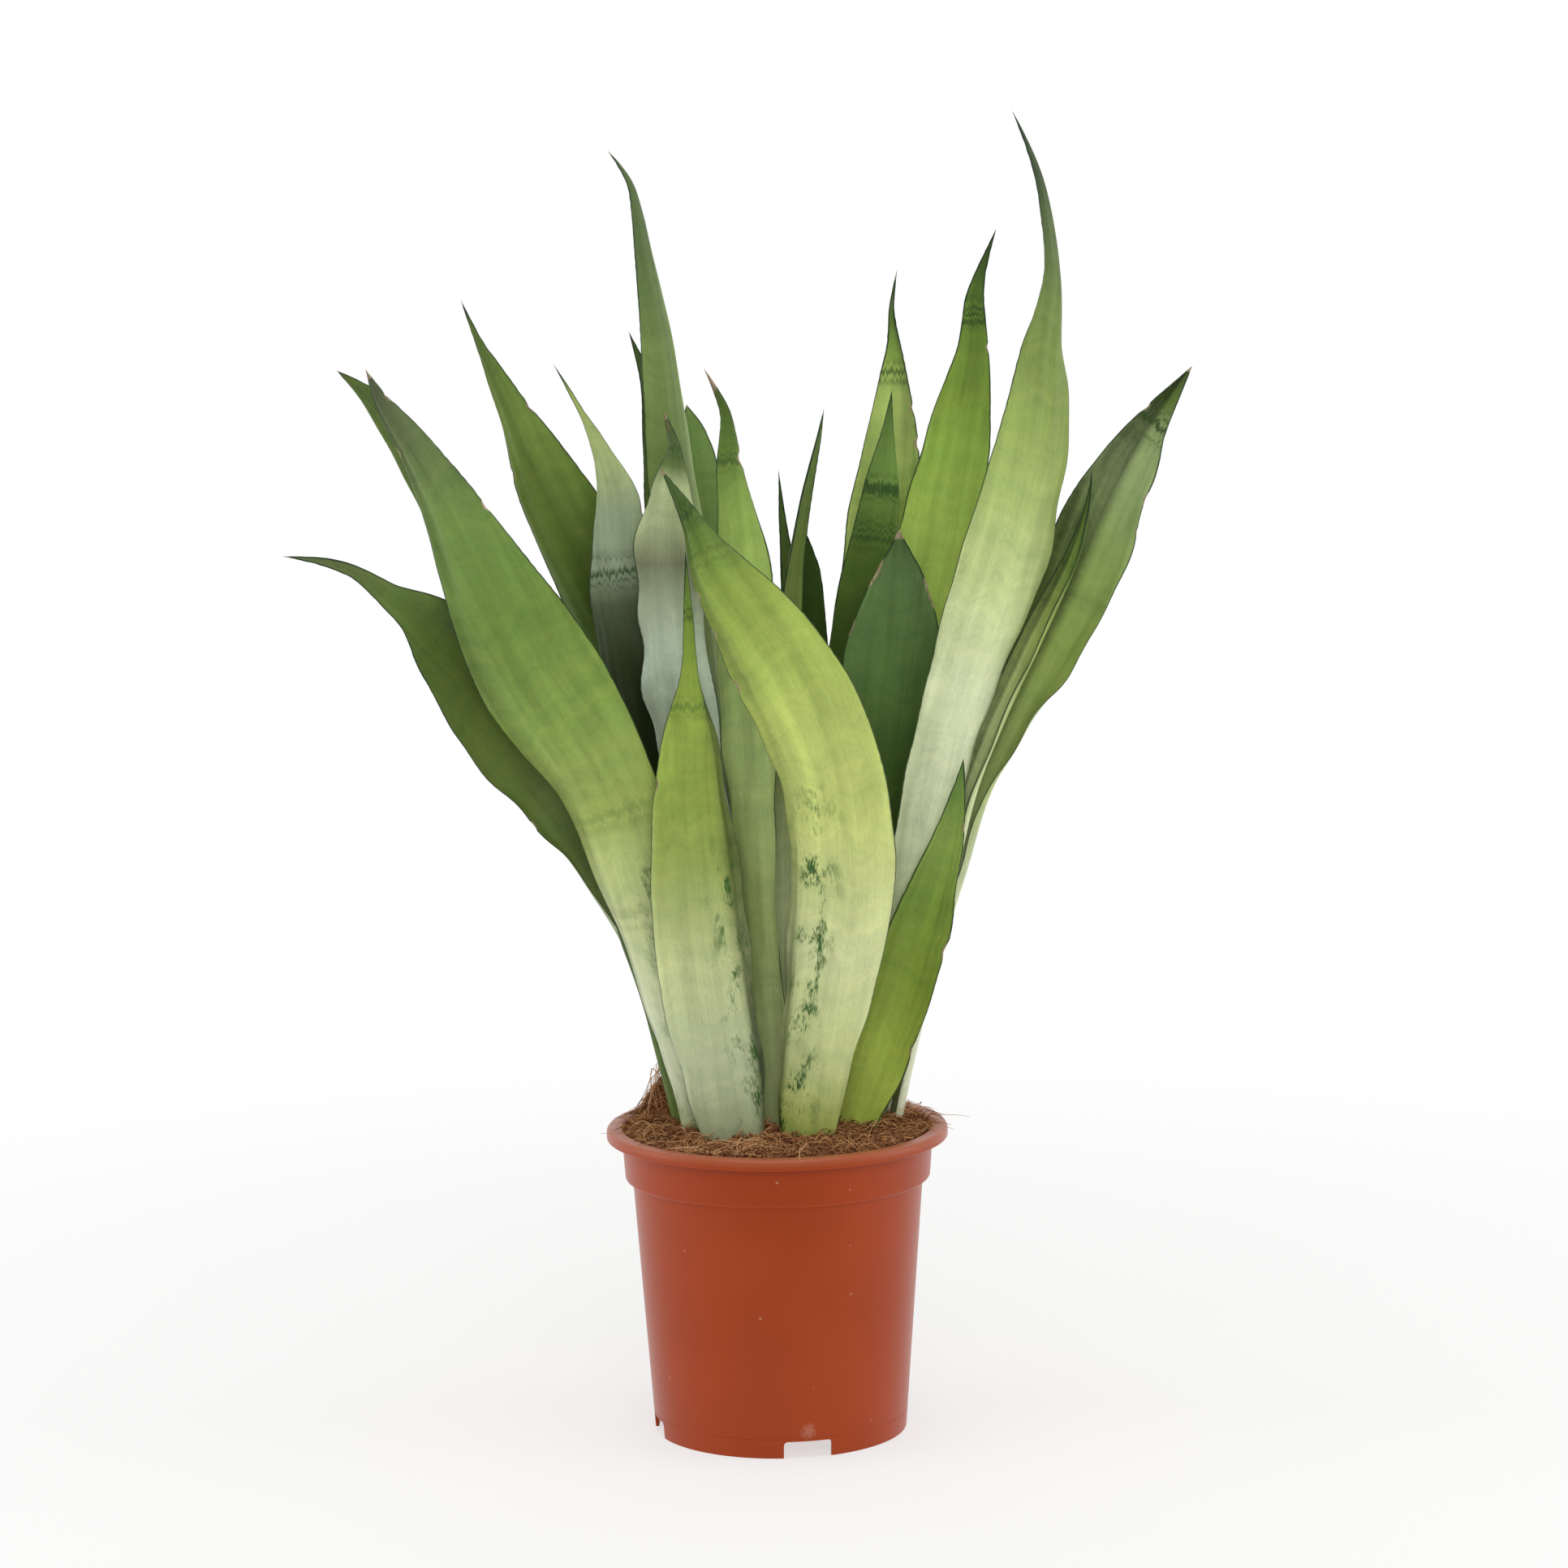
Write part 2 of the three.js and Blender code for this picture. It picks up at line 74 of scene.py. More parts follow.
# Leaves: wavelengths and sizes of what grew unevenly. Spacings without a unit are shares of the
# half-width, and waves and ribs fade out where a leaf's half-width is less than NARROW
NIBBLE_DEPTH = 0.18 * MM
NIBBLE_LENGTH = 9 * MM
MARGIN_WAVELENGTH = 55 * MM
RIB_SPACING = 0.34
RIB_DRIFT = 0.08
RIB_DRIFT_LENGTH = 160 * MM
CREASE_DRIFT = 0.1
CREASE_DRIFT_LENGTH = 240 * MM
NARROW = 12 * MM
SCAR_WIDTH = 2.4 * MM
MOTTLE_FADE_IN = 0.03
MOTTLE_FADE_OUT = 0.08

# Camera: a short telephoto, slightly above the plant and looking down at it
CAMERA_PLACE = (0.0, -2.300, 0.645)
CAMERA_PITCH = 7.92
CAMERA_YAW = 0.14
CAMERA_ROLL = -0.75
CAMERA_LENS = 108.0
CAMERA_SENSOR = 36.0


def to_linear(colour):
    """An sRGB hex colour as linear red, green, blue and alpha."""
    channels = [int(colour[i:i + 2], 16) / 255 for i in (1, 3, 5)]
    linear = [c / 12.92 if c <= 0.04045 else ((c + 0.055) / 1.055) ** 2.4 for c in channels]
    return (*linear, 1.0)


def colour_property(name, description, colour):
    """A colour setting whose default is an sRGB hex colour."""
    return FloatVectorProperty(
        name=name, description=description, default=to_linear(colour)[:3],
        size=3, min=0, max=1, subtype="COLOR")


def length_property(name, description, default):
    """A length setting in metres."""
    return FloatProperty(
        name=name, description=description, default=default,
        min=0, precision=4, subtype="DISTANCE", unit="LENGTH")


class PotSettings(bpy.types.PropertyGroup):
    height: length_property("Height", "Foot to lip", POT_BOX[1].z)
    rim_radius: length_property("Rim radius", "Outside of the lip", POT_BOX[1].x)
    band_radius: length_property("Band radius", "Top of the stepped band", 77.5 * MM)
    body_radius: length_property("Body radius", "Body just under the band", 72.3 * MM)
    foot_radius: length_property("Foot radius", "Outside of the foot", 63 * MM)
    wall: length_property("Wall", "Thickness of the moulded wall", 1.8 * MM)
    plastic: colour_property("Plastic", "Terracotta-brown polypropylene", "#a03a06")
    # The same pale colour also paints the highlight on the top of the lip
    scuffs_and_highlight: colour_property("Scuffs", "Pale rubbed spots and dust", "#c79a80")


class MixSettings(bpy.types.PropertyGroup):
    mound: length_property("Mound", "Rise of the mix from its edge to its middle", 3.0 * MM)
    clump_height: length_property("Clump height", "Raised clump at the rear left", 19 * MM)
    fibres: IntProperty(name="Fibres", description="Short coir fibres", default=3400, min=0)
    strands: IntProperty(name="Strands", description="Long pale strands", default=110, min=0)
    crumbs: IntProperty(name="Crumbs", description="Crumbs of pith", default=1500, min=0)
    pith: colour_property("Pith", "Damp coir pith", "#95623c")
    fibre: colour_property("Fibre", "Dry coir fibre", "#cf9a68")


class LeafSettings(bpy.types.PropertyGroup):
    row_spacing: length_property("Row spacing", "Between sections along a leaf", 2.4 * MM)
    columns: IntProperty(name="Columns", description="Faces across each side", default=22, min=6)
    wave: length_property("Margin wave", "How far the margins wave out of line", 0.9 * MM)
    ribs: length_property("Ribs", "Depth of the long soft ribs", 0.4 * MM)
    margin: colour_property("Margin", "Thin dark line round each leaf", "#1f3624")
    mark: colour_property("Marks", "Dark cross-bands", "#2f4a22")
    mottle: colour_property("Mottles", "Dark green mottling near the base", "#3f6430")
    dry: colour_property("Dry tissue", "Corky scars and dry tips", "#a8977c")


class StageSettings(bpy.types.PropertyGroup):
    floor_radius: length_property("Floor radius", "Round floor under the pot", 9.0)
    floor: colour_property("Floor", "Pale matt floor", "#f4f3f1")
    ambient: FloatProperty(name="Ambient", description="Light from the room", default=0.24, min=0)
    mirrored: FloatProperty(name="Mirrored room", description="Dim side of the room in reflections",
                            default=0.05, min=0)
    backdrop: FloatProperty(name="Backdrop", description="Light from the white backdrop", default=1.0, min=0)
    side_power: FloatProperty(
        name="Side lights", description="Each of the two tall softboxes", default=8, min=0, unit="POWER")
    top_power: FloatProperty(
        name="Top light", description="Overhead softbox", default=12, min=0, unit="POWER")
    front_power: FloatProperty(
        name="Front light", description="Large fill by the camera", default=22, min=0, unit="POWER")


def add(tree, kind, sockets=None, stops=None, **settings):
    """Adds a node, sets its settings, and sets or links its sockets and any colour stops."""
    node = tree.nodes.new(kind)
    for key, value in settings.items():
        setattr(node, key, value)
    for socket, value in (sockets or {}).items():
        if isinstance(value, bpy.types.NodeSocket):
            tree.links.new(value, node.inputs[socket])
        else:
            node.inputs[socket].default_value = value
    if stops:
        elements = node.color_ramp.elements
        elements.remove(elements[-1])
        elements[0].position, elements[0].color = stops[0]
        for position, colour in stops[1:]:
            elements.new(position).color = colour
    return node


def new_material(name):
    """An empty material with its output node."""
    material = bpy.data.materials.new(name)
    material.use_nodes = True
    material.node_tree.nodes.clear()
    tree = material.node_tree
    output = add(tree, "ShaderNodeOutputMaterial")
    return material, tree, output


def finish_piece(name, bm, materials, nodes=(), smooth_angle=None):
    """Turns a bmesh into a piece that rides on the plant's one body."""
    mesh = bpy.data.meshes.new(name)
    bm.to_mesh(mesh)
    bm.free()
    piece = bpy.data.objects.new(name, mesh)
    bpy.context.scene.collection.objects.link(piece)
    for material in materials:
        mesh.materials.append(material)
    for polygon in mesh.polygons:
        polygon.use_smooth = True
    if smooth_angle is not None:
        mesh.set_sharp_from_angle(angle=math.radians(smooth_angle))
    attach(piece, "root")
    if nodes:
        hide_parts(*nodes)
    return piece


# ---------------------------------------------------------------------------------------------
# Leaves


def sorted_ring(ring, above):
    """The ring's vertices in order round it: ring edges are the ones with a face towards the tip."""
    inside = set(ring)
    upward = set(above)
    links = {vertex: [] for vertex in ring}
    for vertex in ring:
        for edge in vertex.link_edges:
            other = edge.other_vert(vertex)
            if other in inside and any(upward & set(face.verts) for face in edge.link_faces):
                links[vertex].append(other)
    start = ring[0]
    order = [start, min(links[start], key=lambda v: v.index)]
    while len(order) < len(ring):
        ahead = [v for v in links[order[-1]] if v is not order[-2]]
        if len(ahead) != 1:
            raise RuntimeError("a leaf's section isn't a plain ring")
        order.append(ahead[0])
    return np.array([v.co for v in order])


def aligned(ring, reference):
    """The ring turned, and reversed if need be, so that its points lie nearest the reference's."""
    turned = [np.roll(way, shift, axis=0) for way in (ring, ring[::-1]) for shift in range(len(ring))]
    return min(turned, key=lambda points: np.linalg.norm(points - reference, axis=1).sum())


def leaf_rings(node):
    """A leaf of the frame as rings of eight points, root first, and its tip.

    A ring starts at one margin, crosses the back to the other margin and returns over the hollow side."""
    bm = bmesh.new()
    bm.from_mesh(node.data)
    bmesh.ops.remove_doubles(bm, verts=bm.verts[:], dist=MERGE)
    bm.verts.index_update()
    tips = [v for v in bm.verts if len(v.link_edges) == RING_POINTS]
    if len(tips) != 1:
        raise RuntimeError(f"{node.name} has {len(tips)} tips")
    layers = [tips]
    seen = set(tips)
    while layers[-1]:
        ahead = {e.other_vert(v) for v in layers[-1] for e in v.link_edges} - seen
        seen |= ahead
        layers.append(sorted(ahead, key=lambda v: v.index))
    layers.pop()
    if any(len(layer) != RING_POINTS for layer in layers[1:]):
        raise RuntimeError(f"{node.name} has a section that isn't {RING_POINTS} points")
    rings = []
    for above, ring in zip(layers, layers[1:]):
        points = sorted_ring(ring, above)
        rings.append(aligned(points, rings[-1]) if rings else points)
    tip = np.array(tips[0].co)
    bm.free()
    rings = np.array(rings[::-1])
    half = RING_POINTS // 2
    chords = np.linalg.norm(rings[:, :half] - rings[:, half:], axis=2)
    widest, margin = np.unravel_index(chords.argmax(), chords.shape)
    rings = np.roll(rings, -margin, axis=1)
    chord_middle = (rings[widest, 0] + rings[widest, 4]) / 2
    depth = [np.linalg.norm(rings[widest, k] - chord_middle) for k in (2, 6)]
    if depth[0] < depth[1]:
        rings = np.roll(rings[:, ::-1], 1, axis=1)
    across = rings[widest, 4] - rings[widest, 0]
    along = tip - rings[0].mean(axis=0)
    inward = rings[widest, 6] - rings[widest, 2]
    if np.dot(np.cross(across, along), inward) < 0:
        rings = np.roll(rings[:, ::-1], 5, axis=1)
    return rings, tip


def through_knots(knots, values, at):
    """Cubic interpolation along a leaf that passes through every knot."""
    slopes = np.gradient(values, knots, axis=0)
    i = np.clip(np.searchsorted(knots, at, side="right") - 1, 0, len(knots) - 2)
    step = (knots[i + 1] - knots[i]).reshape(-1, 1, 1)
    t = (at - knots[i]).reshape(-1, 1, 1) / step
    return ((2 * t ** 3 - 3 * t ** 2 + 1) * values[i] + (t ** 3 - 2 * t ** 2 + t) * step * slopes[i]
            + (3 * t ** 2 - 2 * t ** 3) * values[i + 1] + (t ** 3 - t ** 2) * step * slopes[i + 1])


def across_weights(u):
    """How much each of the five section knots counts at u, by the one quartic through them all."""
    weights = []
    for k, knot in enumerate(SECTION_KNOTS):
        others = [other for j, other in enumerate(SECTION_KNOTS) if j != k]
        weights.append(np.prod([(u - other) / (knot - other) for other in others], axis=0))
    return np.stack(weights, axis=-1)


def waves(rng, at, length, count):
    """A smooth random curve of about -1 to 1 with that wavelength."""
    total = np.zeros_like(at)
    for _ in range(count):
        total += np.sin(2 * math.pi * at / (length * rng.uniform(0.6, 1.5)) + rng.uniform(0, 2 * math.pi))
    return total / math.sqrt(count)


def bump_at(at, centre, half):
    """1 at the centre, 0 further away than half, smooth between."""
    t = np.clip(1 - np.abs(at - centre) / half, 0, 1)
    return t * t * (3 - 2 * t)


def unit(vectors):
    """The same directions with length 1."""
    return vectors / np.maximum(np.linalg.norm(vectors, axis=-1, keepdims=True), 1e-12)


def leaf_skin(name, node, look, leaves, rng):
    """One leaf as a fine closed skin that follows the frame's leaf, and what its cuticle needs to know."""
    rings, tip = leaf_rings(node)
    rails = np.concatenate([rings, np.broadcast_to(tip, (1, RING_POINTS, 3))])
    keel = (rails[:, 2] + rails[:, 6]) / 2
    knots = np.concatenate([[0], np.cumsum(np.linalg.norm(np.diff(keel, axis=0), axis=1))])
    length = knots[-1]
    rows = max(LEAST_ROWS, round(length / leaves.row_spacing))
    columns = leaves.columns
    s = length * np.linspace(0, 1, rows + 1)
    reach = s / length
    fine = through_knots(knots, rails, s)
    middle = np.stack([fine[:, 0], (fine[:, 1] + fine[:, 7]) / 2, (fine[:, 2] + fine[:, 6]) / 2,
                       (fine[:, 3] + fine[:, 5]) / 2, fine[:, 4]], axis=1)
    half_thickness = np.linalg.norm(fine[:, 6] - fine[:, 2], axis=1) / 2
    half_width = np.linalg.norm(np.diff(middle, axis=1), axis=2).sum(axis=1) / 2
    u = np.sin(np.linspace(-math.pi / 2, math.pi / 2, columns + 1))

    # Bites out of the margins and a little unevenness all along them
    plus_is_right = 1 if middle[rows // 2, 4, 0] > middle[rows // 2, 0, 0] else -1
    bite = {side: NIBBLE_DEPTH * np.abs(waves(rng, s, NIBBLE_LENGTH, 3)) for side in (-1, 1)}
    scar = {side: np.zeros_like(s) for side in (-1, 1)}
    for at, side, depth, extent in look.get("nicks", ()):
        margin = side * plus_is_right
        shape = bump_at(s, at * length, extent * MM)
        bite[margin] = bite[margin] + depth * MM * shape
        scar[margin] = np.maximum(scar[margin], bump_at(s, at * length, 1.5 * extent * MM))
    keep = {side: 1 - np.clip(bite[side] / np.maximum(half_width, 1 * MM), 0, 0.5) for side in (-1, 1)}
    shrunk = u[None] * np.where(u[None] < 0, keep[-1][:, None], keep[1][:, None])
    surface = np.einsum("iuk,ikc->iuc", across_weights(shrunk), middle)
    normal = unit(np.cross(np.gradient(surface, axis=1), np.gradient(surface, s, axis=0)))
    inward = fine[:, 6] - fine[:, 2]
    inward[-1] = inward[-2]
    normal[-1] = normal[-2]
    normal *= np.sign(np.einsum("iuc,ic->iu", normal, inward))[..., None]

    # Margins that wave, long soft ribs, and a blade that thins to a rounded edge
    fade = np.clip(half_width / NARROW, 0, 1)[:, None]
    wave = {side: waves(rng, s, MARGIN_WAVELENGTH, 3) * look.get("wave", 1) for side in (-1, 1)}
    swing = np.where(u[None] < 0, wave[-1][:, None], wave[1][:, None]) * np.abs(u[None]) ** 3
    drift = RIB_DRIFT * waves(rng, s, RIB_DRIFT_LENGTH, 2)[:, None]
    rib = waves(rng, (u[None] + drift) * np.ones_like(s)[:, None], RIB_SPACING, 4)
    creases = [(rng.uniform(-0.75, 0.75), rng.uniform(-0.5, 0.6), rng.uniform(0.16, 0.3)) for _ in range(3)]
    for at, depth, breadth in creases + list(look.get("creases", ())):
        wander = at + CREASE_DRIFT * waves(rng, s, CREASE_DRIFT_LENGTH, 1)[:, None]
        ridge = np.clip(1 - np.abs(u[None] - wander) / breadth, 0, 1)
        rib = rib - depth * MM / leaves.ribs * ridge
    surface = surface + normal * (fade * (leaves.wave * swing + leaves.ribs * rib))[..., None]
    blade = np.maximum(half_thickness - EDGE_HALF, 0)[:, None] * (1 - np.abs(u[None]) ** BLADE_SHARPNESS)
    edge_half = np.minimum(EDGE_HALF, EDGE_SHARE * half_width)[:, None]
    half = (blade + edge_half) * np.sqrt(np.clip(1 - np.abs(u[None]) ** EDGE_SHARPNESS, 0, 1))
    back = surface - normal * half[..., None]
    hollow = surface + normal * half[..., None]
    skin = np.concatenate([back, hollow[:, -2::-1]], axis=1)

    def both_sides(values):
        """Values across the back, then the same ones in reverse over the hollow side."""
        return np.concatenate([values, values[:, -2::-1]], axis=1)

    full = np.ones((rows + 1, columns + 1))
    across = u[None] * half_width[:, None]
    to_edge = (1 - np.abs(u[None])) * half_width[:, None]
    banding = np.zeros_like(s)
    for at, extent, strength in look.get("bands", ()):
        banding = np.maximum(banding, strength * bump_at(s, at * length, extent * MM) ** 0.5)
    low, high, keel_half, strength = look.get("mottle", (0, 0.01, 5, 0))
    upright = (np.clip((high - reach) / MOTTLE_FADE_OUT, 0, 1)
               * np.clip((reach - low) / MOTTLE_FADE_IN, 0, 1))
    centre = look.get("mottle_at", 0) * half_width[:, None]
    mottle = strength * upright[:, None] * np.exp(-((across - centre) / (keel_half * MM)) ** 2)
    dry_tip = look.get("dry_tip", 2.5) * MM
    dry = np.clip(1.4 * np.clip(1 - (length - s) / dry_tip, 0, 1), 0, 1)[:, None] * full
    for side in (-1, 1):
        near = np.clip(1 - to_edge / SCAR_WIDTH, 0, 1) * (np.sign(u[None]) == side)
        dry = np.maximum(dry, scar[side][:, None] * near)
    # Painted shade over one side of the blade; a negative depth paints light there instead
    start, end, depth = look.get("shadow", (0.0, 1.0, 0.0))
    shaded = np.clip((u * plus_is_right - start) / (end - start), 0, 1) * depth
    values = {
        "reach": both_sides(reach[:, None] * full),
        "along_mm": both_sides(s[:, None] / MM * full),
        "across_mm": both_sides(across / MM * full),
        "edge_mm": both_sides(to_edge / MM * full),
        "banding": both_sides(banding[:, None] * full),
        "mottle": both_sides(mottle * full),
        "dry": both_sides(dry),
        "shaded": both_sides(shaded[None] * full),
    }

    bm = bmesh.new()
    loop = 2 * columns
    bmesh.ops.create_grid(bm, x_segments=rows, y_segments=loop, size=0.5)
    layers = {key: bm.verts.layers.float.new(key) for key in values}
    for vertex in bm.verts:
        i = round((vertex.co.x + 0.5) * rows)
        j = round((vertex.co.y + 0.5) * loop)
        vertex.co = skin[i, j]
        for key, layer in layers.items():
            vertex[layer] = values[key][i, j]
    bmesh.ops.remove_doubles(bm, verts=bm.verts[:], dist=MERGE)
    open_edges = [e for e in bm.edges if e.is_boundary]
    bmesh.ops.holes_fill(bm, edges=open_edges, sides=0)
    bmesh.ops.recalc_face_normals(bm, faces=bm.faces[:])
    return bm


# What each leaf looks like:
# "tones" runs from root to tip as share of the length and colour; on some leaves it also holds painted shade,
# darker where other leaves shade them, and painted light, paler where a part stood in the light
# "bands" are dark jagged cross-bands: share of the length, half-length in mm, strength
# "mottle" is a line of dark blotches: from share, to share, half-width in mm, strength
# "mottle_at" puts that line off the keel, as share of the half-width
# "creases" are folds: share of the half-width, depth in mm (negative stands up), breadth
# "shadow" is painted shade: it darkens the blade from one share of the half-width to another, by a depth, and
# a negative depth paints light there instead
# "nicks" are bites: share of the length, -1 left or 1 right, depth in mm, half-length in mm
# "dry_tip" is in mm, and "wave" multiplies how far the margins wave
LOOKS = {
    "leaf_front_left": {
        "tones": [(0, "#adbb94"), (0.2, "#b9c49a"), (0.34, "#bcc68e"), (0.5, "#93a556"), (0.6, "#8ba048"),
                  (0.72, "#8ca446"), (0.85, "#7d983c"), (1, "#587634")],
        "bands": [(0.75, 7, 0.5), (0.9, 6, 0.8)], "mottle": (0.02, 0.56, 12, 1.3), "mottle_at": -0.55,
        "creases": [(-0.42, 1.9, 0.4)], "shadow": (0.42, 0.78, 0.6), "nicks": [(0.63, -1, 1.2, 5)]},
    "leaf_front_arching": {
        "tones": [(0, "#a0b852"), (0.07, "#b4c46c"), (0.14, "#bcc888"), (0.3, "#c8d29a"), (0.48, "#bfcc78"),
                  (0.66, "#abbe60"), (0.78, "#90a84c"), (0.87, "#6f8a3c"), (0.94, "#48622c"), (1, "#45582c")],
        "bands": [(0.87, 8, 0.4), (0.93, 10, 0.9)], "mottle": (0.02, 0.56, 11, 1.3), "mottle_at": 0.36,
        "creases": [(0.62, 1.6, 0.25), (0.3, -0.9, 0.2)], "shadow": (-0.62, -0.74, 0.3),
        "nicks": [(0.7, -1, 1.6, 7), (0.78, -1, 1, 5), (0.83, -1, 0.8, 4)], "dry_tip": 6},
    "leaf_front_right_short": {
        "tones": [(0, "#bcd062"), (0.25, "#abc252"), (0.45, "#86a040"), (0.65, "#7c9a42"), (0.8, "#8aa650"),
                  (1, "#5c8040")],
        "creases": [(0.1, 1.2, 0.4)], "nicks": [(0.55, 1, 1.6, 6), (0.3, 1, 1, 5), (0.84, 1, 0.8, 3)]},
    "leaf_left_broad": {
        "tones": [(0, "#a9bf72"), (0.08, "#c6cfac"), (0.18, "#c9d2ac"), (0.3, "#bcc78c"), (0.42, "#9cb05c"),
                  (0.54, "#7e9a48"), (0.68, "#6c8a3e"), (0.8, "#6e8b46"), (0.9, "#66794a"), (1, "#4c5240")],
        "bands": [(0.3, 8, 0.3), (0.42, 9, 0.25)], "mottle": (0.03, 0.4, 10, 1.2), "mottle_at": -0.3,
        "creases": [(0.35, 1.2, 0.3), (-0.3, -0.8, 0.3)], "shadow": (-0.5, -0.8, 0.25),
        "nicks": [(0.8, 1, 0.8, 4), (0.9, -1, 1, 4), (0.96, 1, 0.8, 4)], "dry_tip": 8},
    "leaf_left_low": {
        "tones": [(0, "#c0c6ac"), (0.28, "#b3bb9a"), (0.36, "#788a50"), (0.44, "#5b7038"), (0.62, "#55692e"),
                  (0.76, "#4c6228"), (0.84, "#5f7838"), (1, "#6c764c")],
        "creases": [(0, 1.8, 0.5)], "nicks": [(0.5, -1, 1, 4)], "dry_tip": 6},
    "leaf_left_sliver": {
        "tones": [(0, "#6f8440"), (0.5, "#4f6a30"), (1, "#3f5828")]},
    "leaf_left_rear": {
        "tones": [(0, "#8c9c6a"), (0.4, "#5c753a"), (0.8, "#5c7634"), (1, "#556b34")]},
    # Painted shade: the tones darken low on the blade, where other leaves shade it
    "leaf_upper_left": {
        "tones": [(0, "#4a5c30"), (0.35, "#3a4c1c"), (0.6, "#4e6628"), (0.82, "#70893e"), (1, "#4f6632")],
        "bands": [(0.62, 10, 0.2)], "creases": [(-0.1, 1.6, 0.5), (0.5, 0.9, 0.25)],
        "nicks": [(0.86, 1, 1, 4), (0.8, -1, 0.8, 4)], "dry_tip": 4},
    # Painted shade: the tones turn near black towards the root, where the leaves in front shade it
    "leaf_silver_left": {
        "tones": [(0, "#1c2410"), (0.56, "#28321a"), (0.62, "#364026"), (0.69, "#566248"), (0.735, "#8d9c80"),
                  (0.8, "#93a482"), (0.86, "#a4b57a"), (0.95, "#93a65a"), (1, "#6d8746")],
        "bands": [(0.73, 11, 0.95)], "creases": [(0.2, 1.2, 0.3)], "nicks": [(0.8, 1, 0.6, 3)]},
    "leaf_tall_left": {
        "tones": [(0, "#94a170"), (0.35, "#7b8e54"), (0.6, "#768c4c"), (0.8, "#6f864a"), (1, "#4f6440")],
        "creases": [(0.3, 1.2, 0.3)], "shadow": (0.46, 0.5, -0.4)},
    "leaf_behind_tall_left": {
        "tones": [(0, "#71825a"), (0.5, "#607a42"), (0.85, "#6a8246"), (1, "#4c6232")]},
    # Painted shade and light in the tones: the dark dip near 0.8 of the length is the shade of a fold, and
    # the pale stop at 0.685 is painted light on a part in other leaves' shade
    "leaf_silver_wavy": {
        "tones": [(0, "#9dac96"), (0.5, "#b2c2ac"), (0.685, "#c4d4bc"), (0.74, "#a3b192"), (0.797, "#7c8264"),
                  (0.85, "#a6b284"), (0.9, "#aab886"), (0.925, "#5f7440"), (0.97, "#4c6034"), (1, "#7c6a4a")],
        "wave": 3.2, "bands": [(0.945, 7, 0.7)], "creases": [(0.1, 1.4, 0.4)], "dry_tip": 7},
    "leaf_rear_centre": {
        "tones": [(0, "#87a464"), (0.5, "#82a05e"), (1, "#7a9854")]},
    "leaf_dry_tip": {
        "tones": [(0, "#9ca878"), (0.3, "#96a566"), (0.55, "#acc67c"), (0.74, "#9ebc62"), (0.83, "#88a650"),
                  (0.91, "#5a7632"), (0.95, "#4a6228"), (1, "#4c4a38")],
        "bands": [(0.88, 9, 0.7)], "creases": [(-0.2, 1.0, 0.4)], "nicks": [(0.88, 1, 1.5, 5)],
        "dry_tip": 18},
    # Painted light: the base tones are raised to stand in for light falling there
    "leaf_inner_strip": {
        "tones": [(0, "#c2cca0"), (0.35, "#bac694"), (0.55, "#8a9a58"), (0.8, "#647a38"), (1, "#566c34")],
        "dry_tip": 5},
    "leaf_spike": {
        "tones": [(0, "#8a9a62"), (0.5, "#647a3a"), (1, "#4a602c")]},
    "leaf_dark_rear": {
        "tones": [(0, "#32461c"), (0.6, "#2b4016"), (1, "#3a5220")]},
    "leaf_rear_right": {
        "tones": [(0, "#5b7336"), (0.4, "#6b8640"), (0.68, "#b4cc74"), (0.84, "#b4cc74"), (0.9, "#86a44c"),
                  (0.94, "#5f7c36"), (1, "#5a5a3a")],
        "bands": [(0.88, 8, 0.8)], "creases": [(0, 1, 0.4)], "shadow": (0.2, 0.6, 0.3),
        "nicks": [(0.8, 1, 1.2, 4), (0.84, 1, 1, 3)], "dry_tip": 8},
    # Painted shade: the tones turn near black low down, in the shade deep among the leaves
    "leaf_banded": {
        "tones": [(0, "#18240a"), (0.5, "#1e2c0a"), (0.66, "#39501a"), (0.79, "#55702e"), (0.9, "#6a8a40"),
                  (1, "#48622c")],
        "bands": [(0.87, 8, 1), (0.81, 11, 0.8)], "creases": [(0.3, 1, 0.3)]},
    "leaf_dark_broad": {
        "tones": [(0, "#5d7636"), (0.35, "#4a6628"), (0.62, "#43602a"), (0.8, "#5d7c42"), (0.92, "#64824c"),
                  (1, "#4f6a3a")],
        "creases": [(0.05, 1.8, 0.5)], "shadow": (0.2, 0.5, 0.25),
        "nicks": [(0.9, 1, 0.6, 9), (0.8, 1, 0.5, 9), (0.93, -1, 0.5, 9), (0.84, -1, 0.4, 6)], "dry_tip": 7},
    "leaf_rear_striped": {
        "tones": [(0, "#a5c060"), (0.5, "#a9c662"), (0.67, "#a6c45c"), (0.75, "#92b44e"), (0.82, "#7c9a3e"),
                  (0.9, "#668434"), (0.95, "#49622a"), (1, "#3d5420")],
        "bands": [(0.905, 12, 1)], "creases": [(-0.2, 1.8, 0.3), (0.25, 1.2, 0.2)],
        "nicks": [(0.87, 1, 0.8, 3)]},
    "leaf_tall_right": {
        "tones": [(0, "#b6c092"), (0.12, "#bfc99a"), (0.3, "#ccd6b0"), (0.45, "#d6e0b4"),
                  (0.55, "#c6d694"), (0.63, "#aac072"), (0.7, "#94ac5c"), (0.78, "#7b924c"),
                  (0.86, "#637846"), (0.94, "#47573c"), (1, "#3c4a38")],
        "mottle": (0.03, 0.2, 7, 0.5),
        "creases": [(0.35, 1.8, 0.3), (-0.3, 1.2, 0.3)], "shadow": (0.1, 0.4, 0.12)},
    # Painted light: the base tones are raised as if lit by the right softbox
    "leaf_far_right": {
        "tones": [(0, "#dce0ca"), (0.25, "#cad2ae"), (0.45, "#a3b672"), (0.63, "#92ac58"), (0.75, "#8aa45c"),
